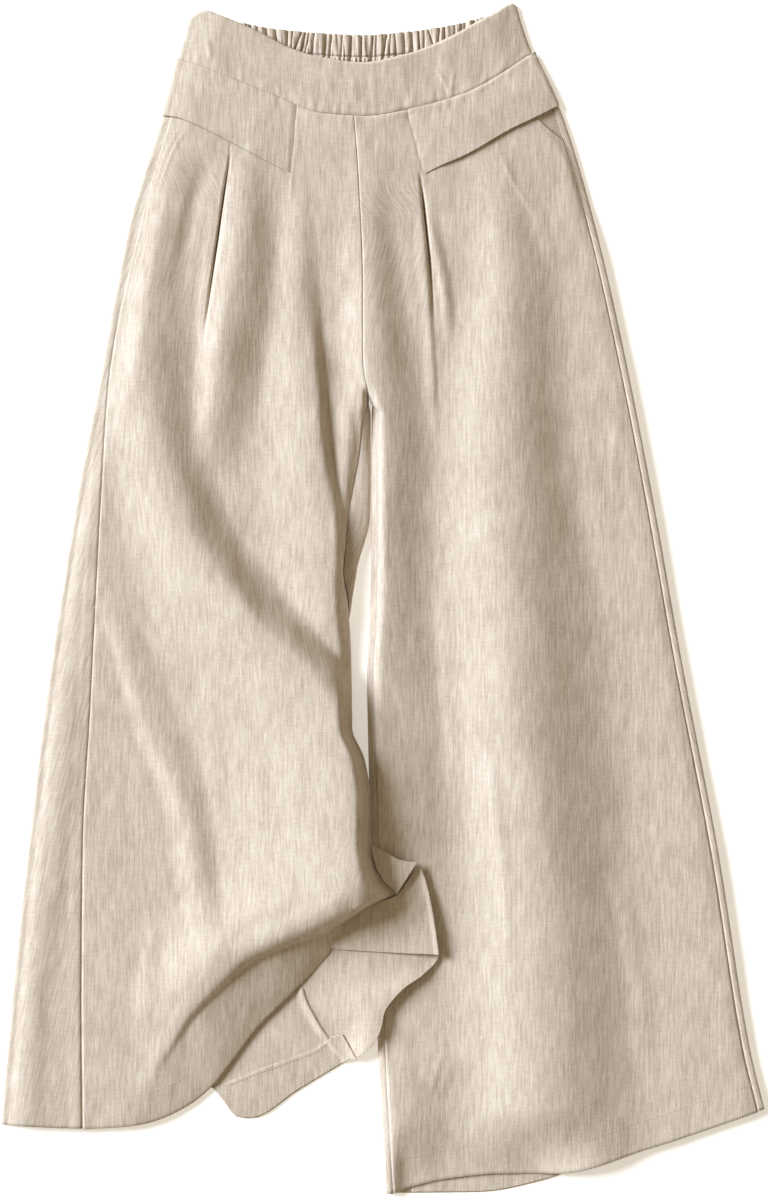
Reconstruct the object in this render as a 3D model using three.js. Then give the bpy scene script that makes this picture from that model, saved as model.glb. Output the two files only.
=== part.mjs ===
// Wide-legged linen trousers laid flat on a table, front up, waist towards +Y.
// The left leg (towards -X) is pushed into a rolling fold, which lifts its front hem and shows
// the inside of its back panel; its inner corner spills over the right leg.
// Sizes are millimetres, +Z is up, and the cloth rests on z = 0.
// Each piece is a thin wall on a grid of points, worked out from the outlines and folds below.
import * as THREE from "three";

// ---- driving sizes
const CLOTH = 1.2; // wall of one layer of washed linen
const BAND = 2.0; // wall of the doubled front waistband
const GAP = 0.3; // clearance between neighbouring pieces
const LAYER = CLOTH + GAP; // step from one layer to the next
const LOFT = 10.5; // middle of the front layer above the table along the centre line
const LEFT_LOFT = 9.5; // and towards the left side
const RIGHT_LOFT = 7; // and towards the right
const EDGE_LOFT = 4; // and where it rolls over either side
const MIDDLE = -20; // x of the centre line
const FLOOR = CLOTH / 2; // middle of the back layer, which lies on the table
const EDGE = 5; // how far a rolled side curls in
const CREASED_EDGE = 1.8; // where it is pressed sharper, down the right leg
const INNER_EDGE = 3; // and on the inner sides
const HEM_LOFT = 7; // middle of the right front along its hem, which stays open
const HEM = 24; // depth of a turned-up hem
const CROTCH = 172; // where the two inside edges part
const BACK_SEAM = 471; // where the back legs meet the elastic waistband
const GATHER = { pitch: 9, rise: 1.2 }; // gathers of the elastic waistband

const LINEN = { color: 0xdacdbc, roughness: 0.92, metalness: 0 };
const LINEN_INSIDE = { color: 0xd3c5b2, roughness: 0.94, metalness: 0 };

// ---- small helpers
const mix = (a, b, t) => a + (b - a) * t;
const clamp = (t) => Math.min(1, Math.max(0, t));
const smooth = (t) => clamp(t) ** 2 * (3 - 2 * clamp(t));
const shares = (count) => Array.from({ length: count }, (_, i) => i / (count - 1));

// A smooth function through a table: column `key` against column `by`, level beyond both ends.
function column(rows, by, key) {
  const sorted = [...rows].sort((a, b) => a[by] - b[by]);
  const at = sorted.map((row) => row[by]);
  const value = sorted.map((row) => row[key]);
  const last = at.length - 1;
  const chord = at.slice(1).map((t, i) => (value[i + 1] - value[i]) / (t - at[i]));
  const slope = at.map((_, i) => {
    const before = chord[Math.max(i - 1, 0)];
    const after = chord[Math.min(i, last - 1)];
    return before * after <= 0 ? 0 : (2 * before * after) / (before + after);
  });
  return (t) => {
    if (t <= at[0]) return value[0];
    if (t >= at[last]) return value[last];
    const i = at.findIndex((edge) => edge > t) - 1;
    const span = at[i + 1] - at[i];
    const s = (t - at[i]) / span;
    const bend = s * (1 - s) * ((1 - s) * (slope[i] - chord[i]) - s * (slope[i + 1] - chord[i]));
    return mix(value[i], value[i + 1], s) + span * bend;
  };
}
// An edge seen from above: y against x, or, for an upright one, x against y.
const outline = (...pairs) => column(pairs.map(([x, y]) => ({ x, y })), "x", "y");
const upright = (...pairs) => column(pairs.map(([y, x]) => ({ y, x })), "y", "x");

// ---- outlines, as seen from above
// Down each side of a leg: `edge` is the outermost line of its roll, `seam` the seam on its
// upper face, `front` the edge of the front panel and `roll` how far the back panel curls up.
const LEFT_SIDE = [
  { y: 478, edge: -180, seam: -172 },
  { y: 422, edge: -195, seam: -188 },
  { y: 331, edge: -223, seam: -214 },
  { y: 190, edge: -250, seam: -242 },
  { y: 86, edge: -270, seam: -249 },
  { y: -90, edge: -297, seam: -258 },
  { y: -222, edge: -313, seam: -265 },
  { y: -354, edge: -327, seam: -266 },
  { y: -466, edge: -337, seam: -265 },
];
const RIGHT_SIDE = [
  { y: 478, edge: 132 },
  { y: 422, edge: 157 },
  { y: 331, edge: 184 },
  { y: 223, edge: 209 },
  { y: 86, edge: 236 },
  { y: -55, edge: 261 },
  { y: -222, edge: 293 },
  { y: -396, edge: 321 },
  { y: -450, edge: 334 },
];
const LEFT_INSIDE = [
  { y: 188, edge: -15.6, seam: -15.6, front: -15.6, roll: 0 },
  { y: 172, edge: -12.6, seam: -14.6, front: -14.6, roll: 0.6 },
  { y: 161, edge: -12.6, seam: -18.2, front: -18.8, roll: 1 },
  { y: 150, edge: -12.6, seam: -19.2, front: -20.2, roll: 1 },
  { y: 132, edge: -12.6, seam: -20.9, front: -21.8, roll: 1 },
  { y: 106, edge: -12.6, seam: -25.2, front: -26.1, roll: 1 },
  { y: 86, edge: -12.8, seam: -29.1, front: -30, roll: 1 },
  { y: 66, edge: -13.6, seam: -32, front: -33, roll: 1 },
  { y: 50, edge: -17.5, seam: -33.5, front: -34.6, roll: 1 },
  { y: 24, edge: -24.5, seam: -35.5, front: -37.4, roll: 1 },
  { y: -4, edge: -27, seam: -36, front: -32.5, roll: 0.5 },
  { y: -50, edge: -36, seam: -38, front: -29.5, roll: 0 },
  { y: -113, edge: -38, seam: -40, front: -28.5, roll: 0 },
  { y: -143, edge: -42, seam: -44, front: -17, roll: 0 },
  { y: -178, edge: -47, seam: -49, front: -12, roll: 0 },
  { y: -216, edge: -54, seam: -56, front: -12, roll: 0 },
  { y: -235, edge: -58, seam: -60, front: -8.4, roll: 0 },
  { y: -248, edge: -61, seam: -63, front: -1.3, roll: 0 },
  { y: -260, edge: -63, seam: -65, front: 9.2, roll: 0 },
  { y: -339, edge: -72, seam: -74, front: 9.2, roll: 0 },
  { y: -376, edge: -57, seam: -59, front: 9.2, roll: 0 },
  { y: -406, edge: -31, seam: -33, front: 9.2, roll: 0 },
];
const RIGHT_INSIDE = [
  { y: 188, edge: -15.6, seam: -15.6, roll: 0 },
  { y: 172, edge: -12, seam: -11.4, roll: 0.6 },
  { y: 161, edge: -10.8, seam: -5.8, roll: 1 },
  { y: 90, edge: -10.7, seam: -5.6, roll: 1 },
  { y: 38, edge: -11.2, seam: -5.7, roll: 1 },
  { y: -10, edge: -12.2, seam: -6.6, roll: 1 },
  { y: -70, edge: -15, seam: -9.4, roll: 1 },
  { y: -98, edge: -14.6, seam: -8.8, roll: 1 },
  { y: -380, edge: -6, seam: 0, roll: 1 },
  { y: -523, edge: 1.5, seam: 7.5, roll: 1 },
];
const centre = upright(
  [422, -26.5], [376, -23], [276, -18.8], [209, -18.6], [195, -17.2], [180, -13.6],
);
const pocketSlit = upright(
  [424, 131], [409, 148], [400, 160], [386, 170], [340, 420],
);
const aboveCrotch = (y) => smooth((y - CROTCH) / 16);

const LEFT = {
  side: -1,
  edge: column(LEFT_SIDE, "y", "edge"),
  seam: column(LEFT_SIDE, "y", "seam"),
  inner: column(LEFT_INSIDE, "y", "edge"),
  inseam: column(LEFT_INSIDE, "y", "seam"),
  roll: column(LEFT_INSIDE, "y", "roll"),
};
LEFT.front = column(LEFT_INSIDE, "y", "front");
LEFT.frontOuter = (y) => LEFT.seam(y) + GAP / 2;
LEFT.frontInner = (y) => mix(LEFT.front(y), centre(y), aboveCrotch(y)) - GAP / 2;
LEFT.turn = () => EDGE;

const RIGHT = {
  side: 1,
  edge: column(RIGHT_SIDE, "y", "edge"),
  inner: column(RIGHT_INSIDE, "y", "edge"),
  inseam: column(RIGHT_INSIDE, "y", "seam"),
  roll: column(RIGHT_INSIDE, "y", "roll"),
};
RIGHT.seam = (y) => RIGHT.edge(y) - EDGE - 1;
RIGHT.frontOuter = (y) => Math.min(pocketSlit(y), RIGHT.seam(y)) - GAP / 2;
RIGHT.frontInner = (y) => mix(RIGHT.inseam(y), centre(y), aboveCrotch(y)) + GAP / 2;
RIGHT.turn = (y) => mix(CREASED_EDGE, EDGE, smooth((y - 300) / 60));

// The waistband: top and bottom edges of its front, and the top edge of its elastic back.
const bandTop = outline(
  [-176, 500], [-169, 510], [-162, 515], [-156, 516], [-148, 513], [-133, 507], [-112, 497.5],
  [-80, 481.5], [-60, 475.5], [-20, 469.8], [20, 477.5], [40, 484.5], [60, 493.5], [80, 505],
  [100, 516], [108, 521], [112, 522.5], [116, 520],
);
const bandBottom = outline(
  [-182, 474.5], [-150, 463], [-100, 443], [-54, 426], [-15, 423.5], [20, 429], [70, 443],
  [105, 462], [131, 480],
);
const BAND_SIDES = [
  { y: 472, left: -181, right: 132 },
  { y: 490, left: -176, right: 125 },
  { y: 508, left: -171, right: 119 },
  { y: 523, left: -168, right: 115 },
];
const bandLeft = column(BAND_SIDES, "y", "left");
const bandRight = column(BAND_SIDES, "y", "right");
const backTop = outline(
  [-165, 508], [-133, 506.5], [-100, 501], [-60, 497], [-20, 495], [20, 498], [60, 504], [88, 511],
  [112, 517],
);

// Lower edges of the hip flaps, which hang loose over the tucks.
const leftFlapEdge = outline(
  [-196, 424], [-184, 422.5], [-164, 415], [-136, 401], [-108, 386], [-83, 373],
);
const rightFlapEdge = outline(
  [34, 371], [47, 378], [72, 389], [112, 412], [132, 421.5], [156, 434],
);

// Hems, and the lower crest of the left leg's fold.
const rightFrontHem = outline(
  [2, -523], [50, -511], [100, -505.5], [150, -505], [233, -483], [340, -447],
);
const rightBackHem = outline(
  [2, -523.4], [84, -522.5], [140, -512], [170, -501.5], [233, -483], [340, -447],
);
const leftFrontHem = outline(
  [-266, -466], [-225, -463.5], [-205, -460], [-175, -447], [-153, -430], [-130, -401],
  [-112, -377], [-96, -361], [-69, -334], [-50, -313], [-43, -300], [-38, -290], [-28, -279],
  [-11, -268], [9.2, -260],
);
const leftBackHem = outline(
  [-337, -463], [-266, -466], [-206, -446], [-172, -422], [-150, -432], [-129, -457], [-118, -458],
  [-74, -432], [-31, -406],
);
const leftBackHemTop = outline(
  [-140, -427], [-108, -414], [-80, -404], [-60, -396], [-50, -389], [-42, -384.5], [-36, -383.5],
);
const crest = outline(
  [-208, -425], [-188, -398], [-171, -371], [-147, -345], [-118, -319], [-83, -303], [-48, -290],
  [-11, -268], [9, -260],
);

// ---- folds of the front layer
// Each ridge runs down the cloth: at y its line is at x, with a half width to the left and right,
// and it stands so high above the cloth beside it. Where it is steep it drops at once on the right.
const RIDGES = [
  // left leg: beside the outer tuck
  [
    { y: 400, x: -122, left: 20, right: 26, rise: 0 },
    { y: 330, x: -128, left: 26, right: 34, rise: 6.5 },
    { y: 262, x: -136, left: 28, right: 50, rise: 10.5 },
    { y: 209, x: -144, left: 24, right: 44, rise: 9 },
    { y: 157, x: -148, left: 24, right: 38, rise: 5.5 },
    { y: 105, x: -156, left: 22, right: 30, rise: 0 },
  ],
  // left leg: inside of the thigh, which drops steeply to the strip along the inseam
  [
    { y: 370, x: -76, left: 14, right: 14, rise: 0, steep: 0 },
    { y: 315, x: -77, left: 20, right: 20, rise: 2.5, steep: 0 },
    { y: 262, x: -76, left: 30, right: 22, rise: 5, steep: 0.3 },
    { y: 209, x: -70, left: 40, right: 18, rise: 7, steep: 1 },
    { y: 139, x: -64, left: 52, right: 18, rise: 9, steep: 1 },
    { y: 69, x: -54, left: 62, right: 19, rise: 10, steep: 1 },
    { y: -2, x: -50, left: 44, right: 20, rise: 8, steep: 1 },
    { y: -40, x: -46, left: 24, right: 18, rise: 3, steep: 1 },
    { y: -80, x: -40, left: 10, right: 10, rise: 0, steep: 1 },
  ],
  // left leg: the strip along the inseam
  [
    { y: 200, x: -30, left: 18, right: 12, rise: 0 },
    { y: 150, x: -31, left: 17, right: 12, rise: 3.5 },
    { y: 110, x: -34, left: 15, right: 10, rise: 3.5 },
    { y: 60, x: -38, left: 12, right: 8, rise: 2 },
    { y: 20, x: -40, left: 10, right: 8, rise: 0 },
  ],
  // centre of the front, then down the inside of the right leg
  [
    { y: 400, x: -14, left: 30, right: 24, rise: 0 },
    { y: 330, x: -14, left: 34, right: 26, rise: 3 },
    { y: 280, x: -12, left: 34, right: 30, rise: 6 },
    { y: 230, x: -11, left: 34, right: 40, rise: 8.5 },
    { y: 180, x: -8, left: 30, right: 46, rise: 9 },
    { y: 139, x: -5, left: 20, right: 50, rise: 9 },
    { y: 60, x: -4, left: 20, right: 50, rise: 9 },
    { y: 0, x: -3, left: 20, right: 52, rise: 8.5 },
    { y: -50, x: -3, left: 20, right: 56, rise: 7 },
    { y: -107, x: -3, left: 20, right: 66, rise: 4.5 },
    { y: -180, x: 0, left: 20, right: 80, rise: 2 },
    { y: -240, x: 2, left: 20, right: 96, rise: 1 },
    { y: -370, x: 4, left: 20, right: 112, rise: 1.5 },
    { y: -430, x: 4, left: 24, right: 120, rise: 2.5 },
    { y: -510, x: 7, left: 24, right: 120, rise: 2.5 },
  ],
  // right leg: pressed down where the corner of the left leg lies on it
  [
    { y: -190, x: 0, left: 24, right: 60, rise: 0 },
    { y: -240, x: 0, left: 24, right: 90, rise: -5 },
    { y: -385, x: 0, left: 24, right: 90, rise: -5 },
    { y: -425, x: 2, left: 20, right: 60, rise: 0 },
  ],
  // right leg: hollow beside the thigh, from the knee towards the hem
  [
    { y: -60, x: 60, left: 40, right: 30, rise: 0 },
    { y: -150, x: 62, left: 46, right: 36, rise: -2 },
    { y: -250, x: 70, left: 54, right: 46, rise: -3 },
    { y: -400, x: 70, left: 56, right: 46, rise: -3.2 },
    { y: -510, x: 70, left: 54, right: 46, rise: -3.2 },
  ],
  // right leg: thigh
  [
    { y: 400, x: 96, left: 30, right: 30, rise: 0 },
    { y: 330, x: 106, left: 38, right: 34, rise: 5 },
    { y: 280, x: 109, left: 42, right: 48, rise: 8 },
    { y: 174, x: 106, left: 62, right: 62, rise: 11 },
    { y: 104, x: 108, left: 68, right: 67, rise: 13 },
    { y: 33, x: 110, left: 70, right: 77, rise: 15 },
    { y: -37, x: 115, left: 74, right: 90, rise: 17 },
    { y: -107, x: 118, left: 74, right: 94, rise: 18 },
    { y: -178, x: 128, left: 74, right: 92, rise: 17 },
    { y: -250, x: 137, left: 82, right: 84, rise: 14.5 },
    { y: -320, x: 140, left: 86, right: 88, rise: 14 },
    { y: -440, x: 143, left: 88, right: 92, rise: 14 },
  ],
  // right leg: side
  [
    { y: 400, x: 160, left: 30, right: 20, rise: 0 },
    { y: 330, x: 176, left: 30, right: 14, rise: 0.8 },
    { y: 209, x: 203, left: 34, right: 16, rise: 0.8 },
    { y: 69, x: 230, left: 38, right: 20, rise: 0.8 },
    { y: -90, x: 258, left: 46, right: 20, rise: 1 },
    { y: -222, x: 283, left: 52, right: 20, rise: 1 },
    { y: -440, x: 320, left: 54, right: 20, rise: 1 },
  ],
  // left leg: shin
  [
    { y: 0, x: -246, left: 14, right: 22, rise: 0 },
    { y: -50, x: -226, left: 15, right: 28, rise: 2.6 },
    { y: -107, x: -208, left: 18, right: 40, rise: 3.2 },
    { y: -178, x: -177, left: 22, right: 28, rise: 6 },
    { y: -240, x: -165, left: 21, right: 24, rise: 5 },
    { y: -300, x: -157, left: 20, right: 22, rise: 1.6 },
    { y: -330, x: -154, left: 18, right: 18, rise: 0 },
  ],
  // left leg: outer edge
  [
    { y: 10, x: -262, left: 14, right: 16, rise: 0 },
    { y: -90, x: -279, left: 16, right: 20, rise: 1.6 },
    { y: -250, x: -300, left: 18, right: 26, rise: 2.2 },
    { y: -354, x: -314, left: 16, right: 26, rise: 2.4 },
    { y: -440, x: -322, left: 14, right: 26, rise: 2.4 },
  ],
];
// Tucks pressed into the fronts below the waistband, each at a share of its panel's width: closed
// at its top, widest at `wide` and running out at its low end.
const TUCKS = [
  { leg: LEFT, share: 0.36, top: 384, wide: 345, low: 205, half: 2.4, depth: 6 },
  { leg: RIGHT, share: 0.285, top: 366, wide: 335, low: 236, half: 2.6, depth: 6 },
];
// The rolling fold of the left leg, from the hip down: its line x at each y, half width to the
// left, distance to its foot on the right, rise, and how steeply it drops to the foot.
const FOLD = [
  { y: 400, x: -189, left: 24, right: 30, rise: 0, steep: 0 },
  { y: 333, x: -205, left: 34, right: 42, rise: 4.2, steep: 0 },
  { y: 271, x: -213, left: 42, right: 54, rise: 6.5, steep: 0 },
  { y: 209, x: -211, left: 48, right: 48, rise: 8.5, steep: 0 },
  { y: 148, x: -200, left: 52, right: 42, rise: 10, steep: 0 },
  { y: 104, x: -188, left: 56, right: 42, rise: 11.5, steep: 0 },
  { y: 69, x: -176, left: 62, right: 43, rise: 13.5, steep: 0 },
  { y: 33, x: -158, left: 72, right: 51, rise: 16.5, steep: 0 },
  { y: -2, x: -131, left: 90, right: 54, rise: 19, steep: 0 },
  { y: -37, x: -97, left: 112, right: 46, rise: 21.5, steep: 0.3 },
  { y: -72, x: -59, left: 134, right: 33, rise: 23.5, steep: 0.6 },
  { y: -107, x: -41, left: 142, right: 20, rise: 24, steep: 1 },
  { y: -143, x: -34, left: 142, right: 24, rise: 25.5, steep: 1 },
  { y: -213, x: -33, left: 140, right: 25, rise: 27.5, steep: 1 },
  { y: -248, x: -34, left: 134, right: 40, rise: 30, steep: 1 },
  { y: -283, x: -72, left: 126, right: 100, rise: 25, steep: 0.6 },
  { y: -318, x: -140, left: 78, right: 100, rise: 15.5, steep: 0 },
  { y: -354, x: -176, left: 50, right: 70, rise: 8, steep: 0 },
  { y: -389, x: -186, left: 30, right: 50, rise: 3.5, steep: 0 },
  { y: -424, x: -190, left: 24, right: 50, rise: 1, steep: 0 },
  { y: -450, x: -190, left: 24, right: 50, rise: 0, steep: 0 },
];
// Over the crest the fold rolls down within a width, onto the part of the front below it, which
// stands so high above the cloth beside it at the crest and droops so far at its hem.
const rollWidth = outline(
  [-200, 24], [-150, 38], [-105, 62], [-75, 56], [-30, 9],
);
const apronRise = outline(
  [-225, 0], [-190, 2], [-150, 6], [-110, 8], [-70, 8], [-45, 4], [-30, 0],
);
const apronDroop = outline(
  [-230, 0], [-190, 3.5], [-150, 5.5], [-60, 5.8], [-45, 3], [-30, 0],
);

// The columns of a fold's table as functions of y.
function lines(rows) {
  const keys = Object.keys(rows[0]).filter((key) => key !== "y");
  return Object.fromEntries(keys.map((key) => [key, column(rows, "y", key)]));
}
const ridges = RIDGES.map(lines);
const fold = lines(FOLD);

// Height across a ridge: a cosine bell with its own half width on each side.
function bell(offset, left, right) {
  const t = Math.abs(offset) / (offset < 0 ? left : right);
  return t < 1 ? (1 + Math.cos(Math.PI * t)) / 2 : 0;
}

// A quarter sine and a quarter circle: both rise from 0 at an edge to 1 at a width inside it.
const climb = (inside, width) => Math.sin((Math.PI / 2) * clamp(inside / width));
const rounded = (inside, width) => Math.sqrt(1 - (1 - clamp(inside / width)) ** 2);
// Half a cosine bell that stays high and then drops.
const cliff = (t) => (1 + Math.cos(Math.PI * clamp(t) ** 2.4)) / 2;

function ridgeHeight(ridge, x, y) {
  const offset = x - ridge.x(y);
  const right = ridge.right(y);
  const soft = bell(offset, ridge.left(y), right);
  const steep = offset > 0 && ridge.steep ? ridge.steep(y) : 0;
  return ridge.rise(y) * mix(soft, cliff(offset / right), steep);
}

function tuckDepth({ leg: owner, share, top, wide, low, half, depth }, leg, x, y) {
  if (owner !== leg) return 0;
  const middle = mix(leftOf(leg, y), rightOf(leg, y), share);
  const closing = (1 - 0.85 * smooth((y - wide) / (top - wide))) * (1 - smooth((y - top) / 10));
  return depth * smooth((y - low) / (wide - low)) * closing * bell(x - middle, half, half);
}

const leftOf = (leg, y) => (leg === LEFT ? leg.frontOuter(y) : leg.frontInner(y));
const rightOf = (leg, y) => (leg === LEFT ? leg.frontInner(y) : leg.frontOuter(y));

// Below the knee the left front lies free of its inseam.
const loose = (y) => smooth((30 - y) / 60);

// Middle of the front layer without folds: highest along the centre line, and it comes down to the
// rolled side at left and at right.
function lofted(x, y, left, right) {
  const onLeft = x < MIDDLE;
  const across = onLeft
    ? mix(LEFT_LOFT, LOFT, (x - left) / (MIDDLE - left))
    : mix(LOFT, RIGHT_LOFT, (x - MIDDLE) / (right - MIDDLE));
  const low = onLeft ? EDGE_LOFT : mix(RIGHT_LOFT, EDGE_LOFT, smooth((y - 300) / 60));
  const leftRoll = climb(x - left - EDGE, mix(10, 24, smooth((y - 60) / 120)));
  const rightRoll = climb(right - EDGE - x, mix(7, 28, smooth((y - 380) / 60)));
  return mix(low, across, Math.min(leftRoll, rightRoll));
}

// The front layer with its ridges, faded out at the rolled sides, but without its tucks: a flap
// bridges them.
function bridged(x, y, leg) {
  const ridge = ridges.reduce((sum, each) => sum + ridgeHeight(each, x, y), 0);
  const sides = smooth((x - LEFT.edge(y) - EDGE) / 26) * smooth((RIGHT.edge(y) - EDGE - x) / 12);
  const free = leg === RIGHT ? aboveCrotch(y) : Math.max(aboveCrotch(y), loose(y));
  const calm = mix(climb((leg.inseam(y) - x) * -leg.side + 2, 8), 1, free);
  const inside = (leg.inner(y) - x) * -leg.side - INNER_EDGE;
  const rolled = mix(mix(0.6, 1, climb(inside, 6)), 1, free);
  const flat = lofted(x, y, LEFT.edge(y), RIGHT.edge(y));
  return EDGE_LOFT + (flat - EDGE_LOFT) * rolled + sides * calm * ridge;
}

// The left leg's rolling fold: a bell to the left of its line, a steeper drop to the right, rolled
// over down to its lower crest.
function swell(x, y) {
  const offset = x - fold.x(y);
  const soft = bell(offset, fold.left(y), fold.right(y));
  const ramp = 0.5 * soft + 0.5 * (1 - clamp(-offset / fold.left(y)));
  const steep = offset > 0 ? cliff(offset / fold.right(y)) : ramp;
  const above = y - crest(x) + 3;
  const width = rollWidth(x);
  const roll = 0.55 * climb(above, width) + 0.45 * rounded(above, Math.min(width, 14));
  return fold.rise(y) * mix(soft, steep, fold.steep(y)) * roll * smooth(above / 6);
}

// Below the crest the front falls evenly from the foot of the fold to its hem.
function apron(x, y) {
  const foot = crest(x);
  const down = clamp((foot - y) / Math.max(foot - leftFrontHem(x), 8));
  return mix(apronRise(x), -apronDroop(x), down) * (1 - smooth((y - foot) / 34));
}

// Height of a layer that lies on the right leg, and keeps level to the left of its edge.
const bed = (x, y) => frontHeight(Math.max(x, 6), y, RIGHT) + LAYER + 6 * GAP;

// Lowest height for a layer that climbs from the table onto the right leg.
const clearOfRight = (x, y) => mix(FLOOR + LAYER, bed(x, y), smooth((x + 56) / 40));

// Middle of the front layer above the table. The right front is level along its hem; on the left
// leg the rolling fold comes on top, and its free inner edge turns down or rests on the right leg.
function frontHeight(x, y, leg) {
  const tucks = TUCKS.reduce((sum, tuck) => sum + tuckDepth(tuck, leg, x, y), 0);
  const height = bridged(x, y, leg) - tucks;
  if (leg === RIGHT) {
    const low = (1 - smooth((y - rightFrontHem(x)) / 60)) * smooth((x + 4) / 24);
    return mix(height, HEM_LOFT, low * (1 - smooth((x - 130) / 80)));
  }
  const sides = smooth((x - LEFT.edge(y) - EDGE) / 26);
  const folded = height + sides * (swell(x, y) + apron(x, y));
  const edge = climb(LEFT.frontInner(y) - x, 12);
  const dropped = mix(folded, mix(5, folded, edge), loose(y));
  const rests = y <= -110 && x >= -40;
  return rests ? Math.max(dropped, clearOfRight(x, y)) : dropped;
}

// ---- thin walls on a grid of points
// rows[i][j] are points on the middle of the cloth, j towards +X and i towards -Y on the upper
// face; the wall is the grid set off to both sides. Its cut edges stand upright, so that
// neighbours keep their clearance.
function wall(rows, thickness) {
  const [m, n] = [rows.length, rows[0].length];
  const normal = (i, j) => {
    const down = rows[Math.min(i + 1, m - 1)][j].clone().sub(rows[Math.max(i - 1, 0)][j]);
    const across = rows[i][Math.min(j + 1, n - 1)].clone().sub(rows[i][Math.max(j - 1, 0)]);
    const facing = down.cross(across).normalize();
    const cut = i === 0 || j === 0 || i === m - 1 || j === n - 1;
    return cut ? new THREE.Vector3(0, 0, Math.sign(facing.z)) : facing;
  };
  const set = (side) =>
    rows.flatMap((row, i) =>
      row.map((p, j) => p.clone().addScaledVector(normal(i, j), (side * thickness) / 2)),
    );
  const index = [];
  const quad = (a, b, c, d) => index.push(a, b, c, a, c, d);
  const upper = (i, j) => i * n + j;
  const lower = (i, j) => m * n + i * n + j;
  for (let i = 0; i < m - 1; i++) {
    for (let j = 0; j < n - 1; j++) {
      quad(upper(i, j), upper(i + 1, j), upper(i + 1, j + 1), upper(i, j + 1));
      quad(lower(i, j), lower(i, j + 1), lower(i + 1, j + 1), lower(i + 1, j));
    }
    quad(upper(i + 1, 0), upper(i, 0), lower(i, 0), lower(i + 1, 0));
    quad(upper(i, n - 1), upper(i + 1, n - 1), lower(i + 1, n - 1), lower(i, n - 1));
  }
  for (let j = 0; j < n - 1; j++) {
    quad(upper(0, j), upper(0, j + 1), lower(0, j + 1), lower(0, j));
    quad(upper(m - 1, j + 1), upper(m - 1, j), lower(m - 1, j), lower(m - 1, j + 1));
  }
  const points = [...set(1), ...set(-1)];
  const geometry = new THREE.BufferGeometry().setFromPoints(points).setIndex(index);
  geometry.computeVertexNormals();
  return geometry;
}

const garment = new THREE.Group();
garment.name = "palazzo_trousers";

function addPiece(name, rows, thickness = CLOTH, finish = LINEN) {
  const mesh = new THREE.Mesh(wall(rows, thickness), new THREE.MeshStandardMaterial(finish));
  mesh.name = name;
  garment.add(mesh);
}

// The y at which a line down the cloth, x = place(y), meets an outline, found by halving.
function meet(place, edge) {
  let [low, high] = [-600, 600];
  for (let i = 0; i < 32; i++) {
    const y = (low + high) / 2;
    if (y > edge(place(y))) high = y;
    else low = y;
  }
  return (low + high) / 2;
}

// Rows down a leg, from its top edge to its hem: those below the crotch match on every panel.
const ROWS = 25;
const RISE_SHARE = 0.32;
const rowAt = (from, to, v) =>
  v < RISE_SHARE ? mix(from, CROTCH, v / RISE_SHARE) : mix(CROTCH, to, (v - RISE_SHARE) / (1 - RISE_SHARE));

// A grid between two upright lines, from one outline down to another, at a given height.
function panel({ left, right, top, bottom, across, down, height, spread = mix }) {
  const columns = across.map((u) => {
    const place = (y) => mix(left(y), right(y), u);
    return { place, from: meet(place, top), to: meet(place, bottom) };
  });
  return down.map((v) =>
    columns.map(({ place, from, to }) => {
      const y = spread(from, to, v);
      return new THREE.Vector3(place(y), y, height(place(y), y));
    }),
  );
}

// ---- the pieces
// Columns crowd where a tuck is pressed in.
function columnsFor(leg, count) {
  const tucked = TUCKS.filter((tuck) => tuck.leg === leg).map((tuck) => tuck.share);
  const open = shares(count).filter((u) => tucked.every((t) => Math.abs(u - t) > 0.03));
  const crowded = tucked.flatMap((t) => [t - 0.024, t, t + 0.024]);
  return [...open, ...crowded].sort((a, b) => a - b);
}

function addFront(name, leg, hem) {
  const rows = panel({
    left: (y) => leftOf(leg, y),
    right: (y) => rightOf(leg, y),
    top: (x) => bandBottom(x) - GAP,
    bottom: hem,
    across: columnsFor(leg, 15),
    down: shares(ROWS),
    height: (x, y) => frontHeight(x, y, leg),
    spread: rowAt,
  });
  addPiece(name, rows);
}

// The back of a leg lies on the table and rolls up round both edges to the seams on top.
// A station gives one lengthwise line of the panel as x and z at a height y on the garment.
function backStations(leg) {
  const s = leg.side;
  const outerTop = (t) => (y) => {
    const x = mix(leg.seam(y) + (s * GAP) / 2, leg.edge(y) - s * leg.turn(y), t);
    return [x, frontHeight(x, y, leg)];
  };
  const curl = (edge, side, turn, angle) => (y) => {
    const x = edge(y) - side * turn(y);
    const top = frontHeight(x, y, leg);
    const reach = side * turn(y) * Math.cos(angle);
    return [x + reach, mix(FLOOR, top, (1 + Math.sin(angle)) / 2)];
  };
  const turns = [90, 35, -20, -90].map((degrees) => (degrees * Math.PI) / 180);
  const outer = [outerTop(0), outerTop(0.5), ...turns.map((angle) => curl(leg.edge, s, leg.turn, angle))];
  const innerRoll = [
    ...turns.toReversed().map((angle) => curl(leg.inner, -s, () => INNER_EDGE, angle)),
    (y) => {
      const x = leg.inseam(y) - (s * GAP) / 2;
      return [x, frontHeight(x, y, leg)];
    },
  ];
  const flatEnd = (y) => mix(leg.inner(y), centre(y) + (s * GAP) / 2, aboveCrotch(y));
  const inner = innerRoll.map((station, k) => (y) => {
    const x = flatEnd(y) + s * (10 - 2 * k);
    const [rolledX, rolledZ] = station(y);
    return [mix(x, rolledX, leg.roll(y)), mix(FLOOR, rolledZ, leg.roll(y))];
  });
  const floor = shares(5)
    .slice(1, -1)
    .map((t) => (y) => [mix(outer.at(-1)(y)[0], inner[0](y)[0], t), FLOOR]);
  return [...outer, ...floor, ...inner];
}

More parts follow.
